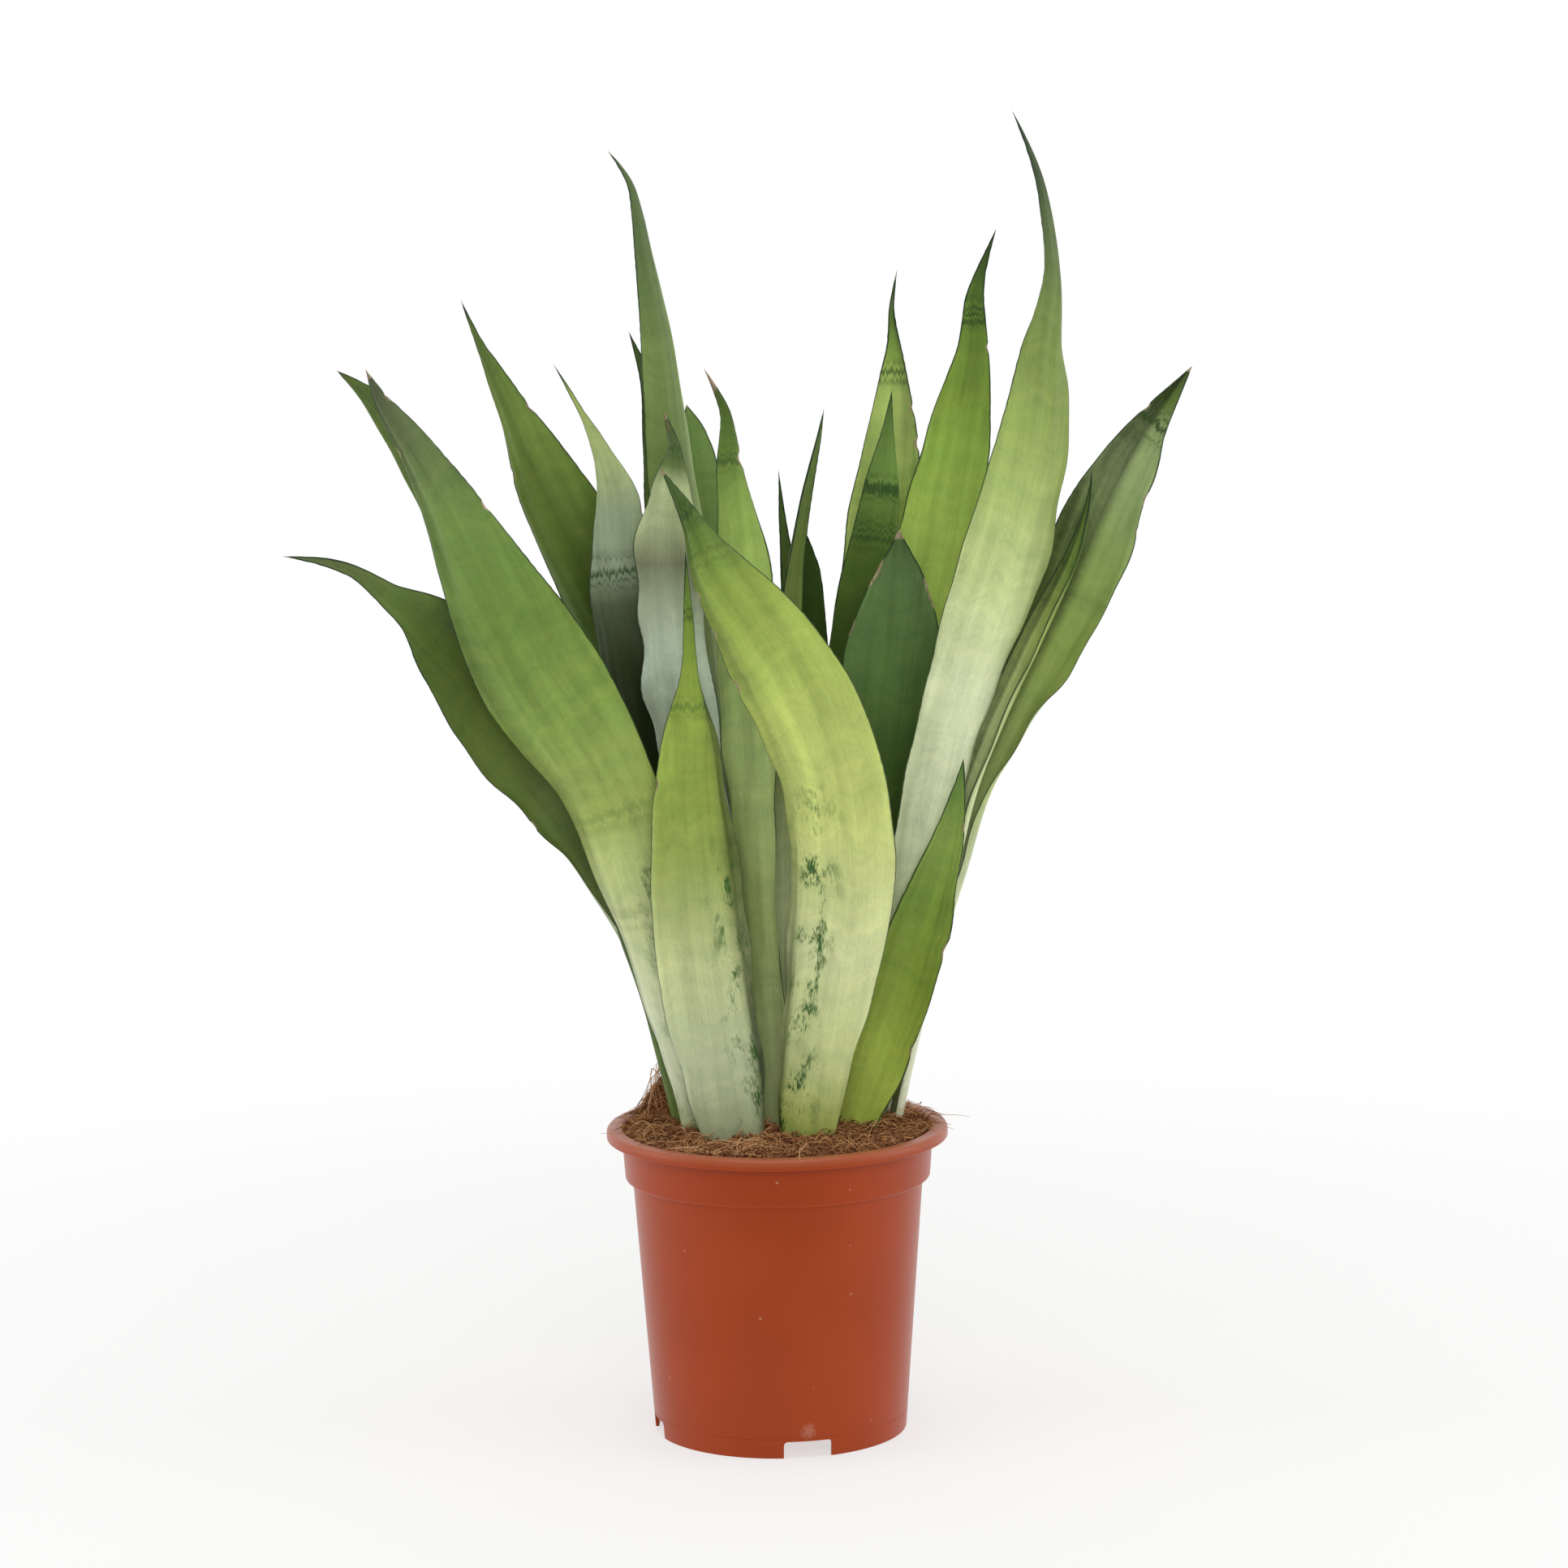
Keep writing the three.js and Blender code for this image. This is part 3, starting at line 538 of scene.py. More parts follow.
                  (0.85, "#94aa70"), (0.91, "#8ba068"), (0.95, "#587030"), (1, "#4c5c30")],
        "bands": [(0.92, 11, 1), (0.7, 8, 0.2)], "creases": [(0, -2.0, 0.5), (0.45, 1, 0.25)],
        "shadow": (0.06, -0.06, 0.6), "nicks": [(0.84, 1, 1, 4), (0.8, 1, 0.8, 3), (0.93, -1, 0.8, 4)],
        "dry_tip": 5},
    # Painted light: the base tones are raised as if lit by the right softbox
    "leaf_right_folded": {
        "tones": [(0, "#dde2c8"), (0.3, "#d2dab2"), (0.55, "#bcc88e"), (0.75, "#a2b468"), (0.86, "#6a853e"),
                  (1, "#45601f")],
        "shadow": (-0.35, -0.45, 0.5)},
}


# Grain of the cuticle at several sizes, as millimetres across and along the leaf and octaves of noise,
# and how much each one lightens and darkens the leaf. The long "fold" streaks are partly grain and partly
# painted shade and painted highlight along folds of the blade
GRAINS = {"fibre": (0.9, 34, 3), "dash": (0.8, 3.4, 2), "fold": (6, 170, 1), "cloud": (15, 38, 4),
          "cross": (52, 7.5, 3), "blotch": (9, 19, 3), "jag": (1.3, 26, 3), "pore": (2.8, 9, 2)}
GRAIN_DEPTHS = {"fibre": 0.26, "dash": 0.3, "fold": 0.5, "cloud": 0.56, "cross": 0.32}

# How the cross-bands wander and how their lines are spaced, in millimetres on the leaf
SWAY_ACROSS = 15
SWAY_ALONG = 60
SWAY_REACH = 22.0
JAG_REACH = 13.0
BAND_SPACING = 10 / 3


def leaf_cuticle(name, look, leaves, seed):
    """Waxy cuticle of a stiff succulent leaf: a satin green that is streaked lengthwise by its fibres, banded
    faintly across, with a thin dark margin and corky scars where it dried, under painted shade and painted
    light."""
    material, tree, output = new_material(name + "_cuticle")
    read = {key: add(tree, "ShaderNodeAttribute", attribute_name=key).outputs["Fac"]
            for key in ("reach", "along_mm", "across_mm", "edge_mm", "banding", "mottle", "dry", "shaded")}
    place = add(tree, "ShaderNodeCombineXYZ",
                {"X": read["across_mm"], "Y": read["along_mm"], "Z": float(seed)}).outputs[0]

    # The distance along the leaf wanders a little across the blade, so that no band runs dead straight
    sway_place = add(tree, "ShaderNodeVectorMath", {0: place, 1: (1 / SWAY_ACROSS, 1 / SWAY_ALONG, 1)},
                     operation="MULTIPLY")
    sway = add(tree, "ShaderNodeTexNoise", {"Vector": sway_place.outputs[0], "Scale": 1.0, "Detail": 1.0})
    wandering = add(tree, "ShaderNodeMath", {0: sway.outputs["Fac"], 1: SWAY_REACH, 2: read["along_mm"]},
                    operation="MULTIPLY_ADD").outputs[0]
    swayed = add(tree, "ShaderNodeCombineXYZ", {
        "X": read["across_mm"], "Y": wandering, "Z": float(seed)}).outputs[0]

    grain = {}
    for key, (wide, long, detail) in GRAINS.items():
        scaled = add(tree, "ShaderNodeVectorMath", {0: swayed, 1: (1 / wide, 1 / long, 1)},
                     operation="MULTIPLY")
        grain[key] = add(tree, "ShaderNodeTexNoise", {"Vector": scaled.outputs[0], "Scale": 1.0,
                                                      "Detail": detail, "Roughness": 0.6}).outputs["Fac"]

    # The tones hold each leaf's own colour and, on some leaves, painted shade and painted light along the
    # blade
    tone = add(tree, "ShaderNodeValToRGB", {"Fac": read["reach"]},
               stops=[(share, to_linear(colour)) for share, colour in look["tones"]]).outputs["Color"]
    # Painted shade from the shaded attribute darkens one side of some blades, and paints light where its
    # depth is negative
    shade = add(tree, "ShaderNodeMath", {0: 1.0, 1: read["shaded"]}, operation="SUBTRACT").outputs[0]
    for key, depth in GRAIN_DEPTHS.items():
        centred = add(tree, "ShaderNodeMath", {0: grain[key], 1: depth, 2: -depth / 2},
                      operation="MULTIPLY_ADD")
        shade = add(tree, "ShaderNodeMath", {0: shade, 1: centred.outputs[0]}, operation="ADD").outputs[0]
    hue = add(tree, "ShaderNodeMapRange", {
        "Value": grain["cross"], "To Min": 0.515, "To Max": 0.475}).outputs[0]
    colour = add(tree, "ShaderNodeHueSaturation", {"Color": tone, "Value": shade, "Hue": hue}).outputs[0]

    # Jagged dark cross-bands: the distance along the leaf is pushed about by the fibres first
    pushed = add(tree, "ShaderNodeMath", {0: grain["jag"], 1: JAG_REACH, 2: read["along_mm"]},
                 operation="MULTIPLY_ADD")
    band_place = add(tree, "ShaderNodeCombineXYZ", {"Y": pushed.outputs[0], "Z": float(seed)}).outputs[0]
    band_noise = add(tree, "ShaderNodeTexNoise", {
        "Vector": band_place, "Scale": 1 / BAND_SPACING, "Detail": 1.0}).outputs["Fac"]
    band_line = add(tree, "ShaderNodeMapRange", {"Value": band_noise, "From Min": 0.44, "From Max": 0.54},
                    interpolation_type="SMOOTHSTEP").outputs[0]
    band_grain = add(tree, "ShaderNodeMapRange", {"Value": grain["dash"], "From Min": 0.3, "From Max": 0.6,
                                                  "To Min": 0.55}).outputs[0]
    bands = add(tree, "ShaderNodeMath", {0: band_line, 1: read["banding"]}, operation="MULTIPLY").outputs[0]
    bands = add(tree, "ShaderNodeMath", {0: bands, 1: band_grain}, operation="MULTIPLY").outputs[0]
    blotch_edge = add(tree, "ShaderNodeMath", {0: grain["dash"], 1: 0.5, 2: grain["blotch"]},
                      operation="MULTIPLY_ADD").outputs[0]
    blotches = add(tree, "ShaderNodeMapRange", {"Value": blotch_edge, "From Min": 0.74, "From Max": 0.96},
                   interpolation_type="SMOOTHSTEP").outputs[0]
    blotches = add(tree, "ShaderNodeMath", {0: blotches, 1: read["mottle"]}, operation="MULTIPLY").outputs[0]
    margin_edge = add(tree, "ShaderNodeMath", {0: grain["fibre"], 1: 0.5, 2: read["edge_mm"]},
                      operation="MULTIPLY_ADD").outputs[0]
    margin = add(tree, "ShaderNodeMapRange", {"Value": margin_edge, "From Min": 0.6, "From Max": 1.05,
                                              "To Min": 0.9, "To Max": 0.0},
                 interpolation_type="SMOOTHSTEP").outputs[0]
    dry_edge = add(tree, "ShaderNodeMath", {0: grain["blotch"], 1: 0.7, 2: read["dry"]},
                   operation="MULTIPLY_ADD").outputs[0]
    dry = add(tree, "ShaderNodeMapRange", {"Value": dry_edge, "From Min": 0.72, "From Max": 0.92},
              interpolation_type="SMOOTHSTEP").outputs[0]
    dry_limit = add(tree, "ShaderNodeMath", {0: read["dry"], 1: 8.0},
                    operation="MULTIPLY", use_clamp=True).outputs[0]
    dry = add(tree, "ShaderNodeMath", {0: dry, 1: dry_limit}, operation="MULTIPLY").outputs[0]
    dry_tone = add(tree, "ShaderNodeValToRGB", {"Fac": grain["fibre"]},
                   stops=[(0.3, to_linear("#5a4632")), (0.62, (*leaves.dry, 1))]).outputs["Color"]
    for factor, paint in ((bands, (*leaves.mark, 1)), (blotches, (*leaves.mottle, 1)),
                          (margin, (*leaves.margin, 1)), (dry, dry_tone)):
        colour = add(tree, "ShaderNodeMix", {0: factor, 6: colour, 7: paint}, data_type="RGBA").outputs[2]

    # Dry tissue is rougher and stands up a little; the living cuticle has only its pores
    gloss = add(tree, "ShaderNodeMapRange", {
        "Value": grain["cloud"], "To Min": 0.36, "To Max": 0.56}).outputs[0]
    gloss = add(tree, "ShaderNodeMath", {0: dry, 1: 0.35, 2: gloss}, operation="MULTIPLY_ADD").outputs[0]
    relief = add(tree, "ShaderNodeMath", {0: grain["blotch"], 1: dry}, operation="MULTIPLY").outputs[0]
    relief = add(tree, "ShaderNodeMath", {0: relief, 1: grain["pore"]}, operation="ADD").outputs[0]
    bump = add(tree, "ShaderNodeBump", {"Height": relief, "Strength": 0.22, "Distance": 0.5 * MM}).outputs[0]
    shader = add(tree, "ShaderNodeBsdfPrincipled", {
        "Base Color": colour, "Roughness": gloss, "Normal": bump, "IOR": 1.4,
        "Specular IOR Level": 0.3})
    tree.links.new(shader.outputs[0], output.inputs["Surface"])
    return material


# ---------------------------------------------------------------------------------------------
# Pot


def rounded_outline(corners, segments):
    """(radius, height) points of an outline whose corners (radius, height, rounding) are drawn as arcs."""
    outline = []
    for index, (r, z, rounding) in enumerate(corners):
        here = Vector((r, z))
        if not rounding:
            outline.append(here)
            continue
        before = (Vector(corners[index - 1][:2]) - here).normalized()
        after = (Vector(corners[index + 1][:2]) - here).normalized()
        turn = before.angle(after)
        reach = rounding / math.tan(turn / 2)
        centre = here + (before + after).normalized() * rounding / math.sin(turn / 2)
        start = here + before * reach - centre
        sweep = start.angle_signed(here + after * reach - centre)
        for k in range(segments + 1):
            outline.append(centre + Matrix.Rotation(-sweep * k / segments, 2) @ start)
    return outline


def spun(outline, steps):
    """The solid of revolution of an outline that starts and ends on the axis."""
    bm = bmesh.new()
    points = [bm.verts.new((r, 0, z)) for r, z in outline]
    edges = [bm.edges.new(pair) for pair in zip(points, points[1:])]
    bmesh.ops.spin(bm, geom=points + edges, axis=(0, 0, 1), cent=(0, 0, 0),
                   steps=steps, angle=2 * math.pi, use_merge=True)
    bmesh.ops.remove_doubles(bm, verts=bm.verts[:], dist=MERGE)
    bmesh.ops.recalc_face_normals(bm, faces=bm.faces[:])
    return bm


def cut(bm, cutter):
    """The solid in bm with the solid in cutter taken away."""
    objects = []
    for solid in (bm, cutter):
        mesh = bpy.data.meshes.new("cut")
        solid.to_mesh(mesh)
        solid.free()
        objects.append(bpy.data.objects.new("cut", mesh))
        bpy.context.scene.collection.objects.link(objects[-1])
    work, tool = objects
    boolean = work.modifiers.new("cut", "BOOLEAN")
    boolean.operation = "DIFFERENCE"
    boolean.solver = "EXACT"
    boolean.object = tool
    result = bmesh.new()
    result.from_object(work, bpy.context.evaluated_depsgraph_get())
    for each in objects:
        mesh = each.data
        bpy.data.objects.remove(each)
        bpy.data.meshes.remove(mesh)
    return result


# The pot's floor, notches and drain holes, in metres
FLOOR_RISE = 9 * MM
PAD_RADIUS = 24 * MM
PAD_SLOPE = 6 * MM
BAND_FOOT = 127 * MM
BAND_STEP = 3 * MM
BAND_TAPER = 1.5 * MM
LIP_HEIGHT = 5.5 * MM
LIP_ROUND = 2.2 * MM
NOTCH = Vector((24, 12, 8.5)) * MM
NOTCH_ROUND = 2 * MM
NOTCH_COUNT = 4
FIRST_NOTCH = math.radians(12)
HOLE_RADIUS = 4.5 * MM
HOLE_RING = 45 * MM
HOLE_COUNT = 8
SEAM_HEIGHT = 9.5 * MM
POT_STEPS = 192


def pot_outline(pot):
    """The pot's section from the middle of its underside, out over the wall and lip, and back inside."""
    foot, wall, height = pot.foot_radius, pot.wall, pot.height
    body = pot.body_radius

    def body_radius(z):
        return foot + (body - foot) * z / BAND_FOOT

    floor_top = FLOOR_RISE + wall
    band_foot_radius = pot.band_radius - BAND_TAPER
    lip_under = height - LIP_HEIGHT
    mouth = pot.band_radius - wall / 2
    mm = MM
    return rounded_outline([
        (0, 0, 0),
        (PAD_RADIUS, 0, 0.8 * mm),
        (PAD_RADIUS + PAD_SLOPE, FLOOR_RISE, 1.5 * mm),
        (body_radius(FLOOR_RISE) - wall, FLOOR_RISE, 1 * mm),
        (foot - wall, 0, 0.4 * mm),
        (foot, 0, 0.5 * mm),
        (body_radius(SEAM_HEIGHT), SEAM_HEIGHT, 0),
        (body_radius(SEAM_HEIGHT) - 0.18 * mm, SEAM_HEIGHT + 0.25 * mm, 0),
        (body_radius(SEAM_HEIGHT + 1.5 * mm), SEAM_HEIGHT + 1.5 * mm, 0),
        (body_radius(BAND_FOOT / 2), BAND_FOOT / 2, 0),
        (body, BAND_FOOT, 0.7 * mm),
        (band_foot_radius, BAND_FOOT + BAND_STEP / 2, 1.4 * mm),
        (pot.band_radius, lip_under + 1 * mm, 1 * mm),
        (pot.rim_radius - 2.5 * mm, lip_under + 1 * mm, 0.5 * mm),
        (pot.rim_radius - 1.5 * mm, lip_under, 0.3 * mm),
        (pot.rim_radius, lip_under, 0.7 * mm),
        (pot.rim_radius, height, LIP_ROUND),
        (mouth, height, LIP_ROUND),
        (band_foot_radius - wall, BAND_FOOT + BAND_STEP, 1 * mm),
        (body - wall, BAND_FOOT - 1 * mm, 1 * mm),
        (body_radius(floor_top) - wall, floor_top, 2 * mm),
        (PAD_RADIUS + PAD_SLOPE - 1 * mm, floor_top, 1 * mm),
        (PAD_RADIUS - 1 * mm, wall, 1 * mm),
        (0, wall, 0),
    ], segments=5)


def notch_cutters(pot):
    """Blocks with rounded upper corners, one for each notch in the foot, and a drill for each hole."""
    block = bmesh.new()
    bmesh.ops.create_cube(block, size=1)
    bmesh.ops.scale(block, verts=block.verts[:], vec=(NOTCH.x, NOTCH.y, 2 * NOTCH.z))
    inward = [e for e in block.edges if e.verts[0].co.z > 0 and e.verts[1].co.z > 0
              and abs(e.verts[0].co.y - e.verts[1].co.y) > MERGE]
    bmesh.ops.bevel(block, geom=inward, offset=NOTCH_ROUND, affect="EDGES", segments=5,
                    profile=0.5, material=-1)
    bmesh.ops.translate(block, verts=block.verts[:], vec=(0, NOTCH.y / 2 - 4 * MM - pot.foot_radius, 0))
    bmesh.ops.rotate(block, verts=block.verts[:], matrix=Matrix.Rotation(FIRST_NOTCH, 3, "Z"))
    one = bpy.data.meshes.new("notch")
    cutter = bmesh.new()
    for index in range(NOTCH_COUNT):
        block.to_mesh(one)
        cutter.from_mesh(one)
        bmesh.ops.rotate(block, verts=block.verts[:],
                         matrix=Matrix.Rotation(2 * math.pi / NOTCH_COUNT, 3, "Z"))
    block.free()
    bpy.data.meshes.remove(one)
    for index in range(HOLE_COUNT):
        angle = 2 * math.pi * (index + 0.5) / HOLE_COUNT
        place = Matrix.Translation((HOLE_RING * math.cos(angle), HOLE_RING * math.sin(angle), FLOOR_RISE))
        bmesh.ops.create_cone(cutter, cap_ends=True, segments=24, radius1=HOLE_RADIUS, radius2=HOLE_RADIUS,
                              depth=4 * pot.wall, matrix=place)
    bmesh.ops.recalc_face_normals(cutter, faces=cutter.faces[:])
    return cutter


def moulded_polypropylene(pot):
    """Injection-moulded polypropylene: an even terracotta brown, semi-gloss from the polished mould, with
    faint flow clouds, a painted highlight that pales the top of the lip, a scuff over a notch and a few pale
    specks."""
    material, tree, output = new_material("moulded_polypropylene")
    place = add(tree, "ShaderNodeTexCoord").outputs["Object"]
    flow = add(tree, "ShaderNodeTexNoise", {
        "Vector": place, "Scale": 1 / (50 * MM), "Detail": 1.0}).outputs["Fac"]
    cells = add(tree, "ShaderNodeTexVoronoi", {"Vector": place, "Scale": 1 / (9 * MM)})
    cell_pick = add(tree, "ShaderNodeSeparateColor", {0: cells.outputs["Color"]}).outputs[0]
    speck_size = add(tree, "ShaderNodeMapRange", {"Value": cell_pick, "From Min": 0.62, "From Max": 1.0,
                                                  "To Min": 0.0, "To Max": 0.09}).outputs[0]
    specks = add(tree, "ShaderNodeMath", {0: speck_size, 1: cells.outputs["Distance"]},
                 operation="GREATER_THAN").outputs[0]
    specks = add(tree, "ShaderNodeMath", {0: specks, 1: 0.5}, operation="MULTIPLY").outputs[0]
    shade = add(tree, "ShaderNodeMapRange", {"Value": flow, "To Min": 0.9, "To Max": 1.12}).outputs[0]
    colour = add(tree, "ShaderNodeHueSaturation", {"Color": (*pot.plastic, 1), "Value": shade}).outputs[0]
    # Painted highlight: the top 5 mm of the lip is paled towards the pale scuff colour, as if lit from above
    height = add(tree, "ShaderNodeSeparateXYZ", {0: place}).outputs["Z"]
    lip_highlight = add(tree, "ShaderNodeMapRange", {"Value": height, "From Min": pot.height - 5 * MM,
                                               "From Max": pot.height, "To Max": 0.24}).outputs[0]
    above_notch = Matrix.Rotation(FIRST_NOTCH, 3, "Z") @ Vector((0, -pot.foot_radius, NOTCH.z + 5 * MM))
    away = add(tree, "ShaderNodeVectorMath", {0: place, 1: above_notch},
               operation="DISTANCE").outputs["Value"]
    smear = add(tree, "ShaderNodeTexNoise", {
        "Vector": place, "Scale": 1 / (2 * MM), "Detail": 4.0}).outputs["Fac"]
    scuff = add(tree, "ShaderNodeMapRange", {"Value": away, "From Min": 1 * MM, "From Max": 7 * MM,
                                             "To Min": 1.1, "To Max": 0.0}).outputs[0]
    scuff = add(tree, "ShaderNodeMath", {0: scuff, 1: smear}, operation="MULTIPLY").outputs[0]
    scuff = add(tree, "ShaderNodeMath", {0: scuff, 1: 0.2}, operation="SUBTRACT", use_clamp=True).outputs[0]
    for factor in (specks, lip_highlight, scuff):
        colour = add(tree, "ShaderNodeMix", {0: factor, 6: colour, 7: (*pot.scuffs_and_highlight, 1)},
                     data_type="RGBA").outputs[2]
    gloss = add(tree, "ShaderNodeMapRange", {"Value": flow, "To Min": 0.29, "To Max": 0.36}).outputs[0]
    shader = add(tree, "ShaderNodeBsdfPrincipled", {
        "Base Color": colour, "Roughness": gloss, "IOR": 1.49, "Specular IOR Level": 0.28})
    tree.links.new(shader.outputs[0], output.inputs["Surface"])
    return material


# ---------------------------------------------------------------------------------------------
# Potting mix

CLUMP = Vector((-57, 27)) * MM
CLUMP_SPREAD = 11 * MM
MIX_EDGE_DROP = 2.6 * MM
MIX_RADIUS = POT_BOX[1].x - 9.6 * MM
MIX_TOP = POT_BOX[1].z - MIX_EDGE_DROP
MIX_ROUGHNESS = 3.0 * MM
MIX_LUMP = 9 * MM
MIX_RINGS = 60

# Loose bits of the mix: sizes in millimetres and bends in radians, each from least to most
CRUMB_SIZE = (0.5, 1.5)
FIBRE_LENGTH = (6, 24)
FIBRE_RADIUS = (0.12, 0.28)
FIBRE_BEND = (-3, 3)
FIBRE_LIFT = (0, 3.4)
FIBRE_SEGMENTS = 7
STRAND_LENGTH = (20, 48)
STRAND_RADIUS = (0.16, 0.28)
STRAND_BEND = (-3.5, 3.5)
STRAND_LIFT = (1, 7)
STRAND_LIFT_ON_CLUMP = (3, 12)
STRANDS_ON_CLUMP = 0.2
STRAND_SEGMENTS = 18


def mix_height(x, y, mix):
    """Height of the mix's surface at a place, without its crumbs."""
    share = math.hypot(x, y) / MIX_RADIUS
    clump = math.exp(-((x - CLUMP.x) ** 2 + (y - CLUMP.y) ** 2) / CLUMP_SPREAD ** 2)
    rough = noise.fractal(Vector((x, y, 0)) / MIX_LUMP, 0.8, 2.0, 4)
    edge = max(0.0, 1 - share ** 8)
    return MIX_TOP + mix.mound * (1 - share ** 2) + mix.clump_height * clump + MIX_ROUGHNESS * rough * edge


def mix_outline(pot_wall):
    """The mix's section from the bottom of the pot, up its wall and over the surface to the middle."""
    low = MIX_BOX[0].z
    outline = [Vector((0, low)), Vector((PAD_RADIUS - 1.5 * MM, low)),
               Vector((PAD_RADIUS + PAD_SLOPE - 1.5 * MM, FLOOR_RISE + pot_wall + 0.4 * MM)),
               Vector((61 * MM, FLOOR_RISE + pot_wall + 0.4 * MM)),
               Vector((69.5 * MM, BAND_FOOT - 2 * MM)), Vector((73 * MM, BAND_FOOT + BAND_STEP + 1 * MM))]
    outline += [Vector((MIX_RADIUS * (1 - k / MIX_RINGS), MIX_TOP)) for k in range(MIX_RINGS + 1)]
    return outline


def coir_pith(mix):
    """Coir pith: milled coconut husk, a dull damp brown that is uneven from crumb to crumb."""
    material, tree, output = new_material("coir_pith")
    place = add(tree, "ShaderNodeTexCoord").outputs["Object"]
    crumb = add(tree, "ShaderNodeTexNoise", {"Vector": place, "Scale": 1 / (1.6 * MM), "Detail": 5.0,
                                             "Roughness": 0.7}).outputs["Fac"]
    patch = add(tree, "ShaderNodeTexNoise", {
        "Vector": place, "Scale": 1 / (14 * MM), "Detail": 2.0}).outputs["Fac"]
    both = add(tree, "ShaderNodeMath", {0: crumb, 1: patch}, operation="ADD").outputs[0]
    half = add(tree, "ShaderNodeMath", {0: both, 1: 0.5}, operation="MULTIPLY").outputs[0]
    shade = add(tree, "ShaderNodeAttribute", attribute_name="shade").outputs["Fac"]
    factor = add(tree, "ShaderNodeMath", {0: shade, 1: 0.22, 2: half}, operation="MULTIPLY_ADD").outputs[0]
    colour = add(tree, "ShaderNodeValToRGB", {"Fac": factor}, stops=[
        (0.3, to_linear("#42261a")), (0.44, to_linear("#6e4429")), (0.56, (*mix.pith, 1)),
        (0.72, to_linear("#bd8658"))]).outputs["Color"]
    bump = add(tree, "ShaderNodeBump", {"Height": crumb, "Strength": 0.9, "Distance": 1.2 * MM}).outputs[0]
    shader = add(tree, "ShaderNodeBsdfPrincipled", {
        "Base Color": colour, "Roughness": 0.95, "Normal": bump, "Specular IOR Level": 0.2})
    tree.links.new(shader.outputs[0], output.inputs["Surface"])
    return material


def coir_fibre(name, mix, lightest):
    """Coir fibre: combed coconut husk, a matt brown thread, paler where it has dried."""
    material, tree, output = new_material(name)
    shade = add(tree, "ShaderNodeAttribute", attribute_name="shade").outputs["Fac"]
    colour = add(tree, "ShaderNodeValToRGB", {"Fac": shade}, stops=[
        (0.0, to_linear("#5a3520")), (0.4, to_linear("#9c663e")), (0.8, (*mix.fibre, 1)),
        (1.0, to_linear(lightest))]).outputs["Color"]
    place = add(tree, "ShaderNodeTexCoord").outputs["Object"]
    wear = add(tree, "ShaderNodeTexNoise", {
        "Vector": place, "Scale": 1 / (3 * MM), "Detail": 2.0}).outputs["Fac"]
    value = add(tree, "ShaderNodeMapRange", {"Value": wear, "To Min": 0.7, "To Max": 1.3}).outputs[0]
    colour = add(tree, "ShaderNodeHueSaturation", {"Color": colour, "Value": value}).outputs[0]
    shader = add(tree, "ShaderNodeBsdfPrincipled", {
        "Base Color": colour, "Roughness": 0.8, "Specular IOR Level": 0.3})
    tree.links.new(shader.outputs[0], output.inputs["Surface"])
    return material


def scattered(template, count, place_one):
    """Many copies of a small mesh in one bmesh. place_one moves a copy's vertices and returns its shade."""
    bm = bmesh.new()
    for _ in range(count):
        bm.from_mesh(template)
    shade = bm.verts.layers.float.new("shade")
    bm.verts.ensure_lookup_table()
    each = len(template.vertices)
    for index in range(count):
        copy = bm.verts[index * each:(index + 1) * each]
        value = place_one(copy)
        for vertex in copy:
            vertex[shade] = value
    bpy.data.meshes.remove(template)
    return bm


def strand_template(segments):
    """A three-sided strand of unit length along Z and unit radius, with closed ends."""
    bm = bmesh.new()
    bmesh.ops.create_cone(bm, cap_ends=True, segments=3, radius1=1, radius2=1, depth=1)
    for vertex in bm.verts:
        vertex.co.z += 0.5
    for index in range(1, segments):
        bmesh.ops.bisect_plane(bm, geom=bm.verts[:] + bm.edges[:] + bm.faces[:], dist=1e-5,
                               plane_co=(0, 0, index / segments), plane_no=(0, 0, 1))
    mesh = bpy.data.meshes.new("strand")
    bm.to_mesh(mesh)
    bm.free()
    return mesh


def lay_strand(copy, start, heading, length, radius, bend, lift, mix, rng):
    """Bends a strand over the surface of the mix, as if it had dropped there."""
    sway = rng.uniform(0, 2 * math.pi)
    for vertex in copy:
        t = vertex.co.z
        turned = heading + bend * (t - 0.5)
        along = length * (t - 0.5)
        x = start.x + along * math.cos((heading + turned) / 2)
        y = start.y + along * math.sin((heading + turned) / 2)
        over_lip = math.hypot(x, y) > MIX_RADIUS
        z = POT_BOX[1].z + 0.5 * MM if over_lip else mix_height(x, y, mix)
        thin = radius * (1 - 0.6 * abs(2 * t - 1) ** 3)
        height = z + 0.3 * MM + lift * math.sin(math.pi * t) + 0.4 * MM * math.sin(3 * t * math.pi + sway)
        side = Vector((-math.sin(turned), math.cos(turned), 0))
        up = Vector((0, 0, 1))
        vertex.co = Vector((x, y, height)) + side * vertex.co.x * thin + up * vertex.co.y * thin


# ---------------------------------------------------------------------------------------------
# Stage


# Each softbox: where it stands, its width and height, the setting with its power, and whether it is
# seen in reflections
LIGHT_TARGET = (0, 0, 0.33)
SOFTBOXES = {
    "left_softbox": ((-1.5, -0.1, 0.5), (0.9, 1.5), "side_power", True),
    "right_softbox": ((1.5, -0.1, 0.5), (0.9, 1.5), "side_power", True),
    "top_softbox": ((0, -0.4, 2.0), (1.4, 1.0), "top_power", True),
    "front_softbox": ((0.2, -2.6, 1.4), (1.6, 1.0), "front_power", False),
}


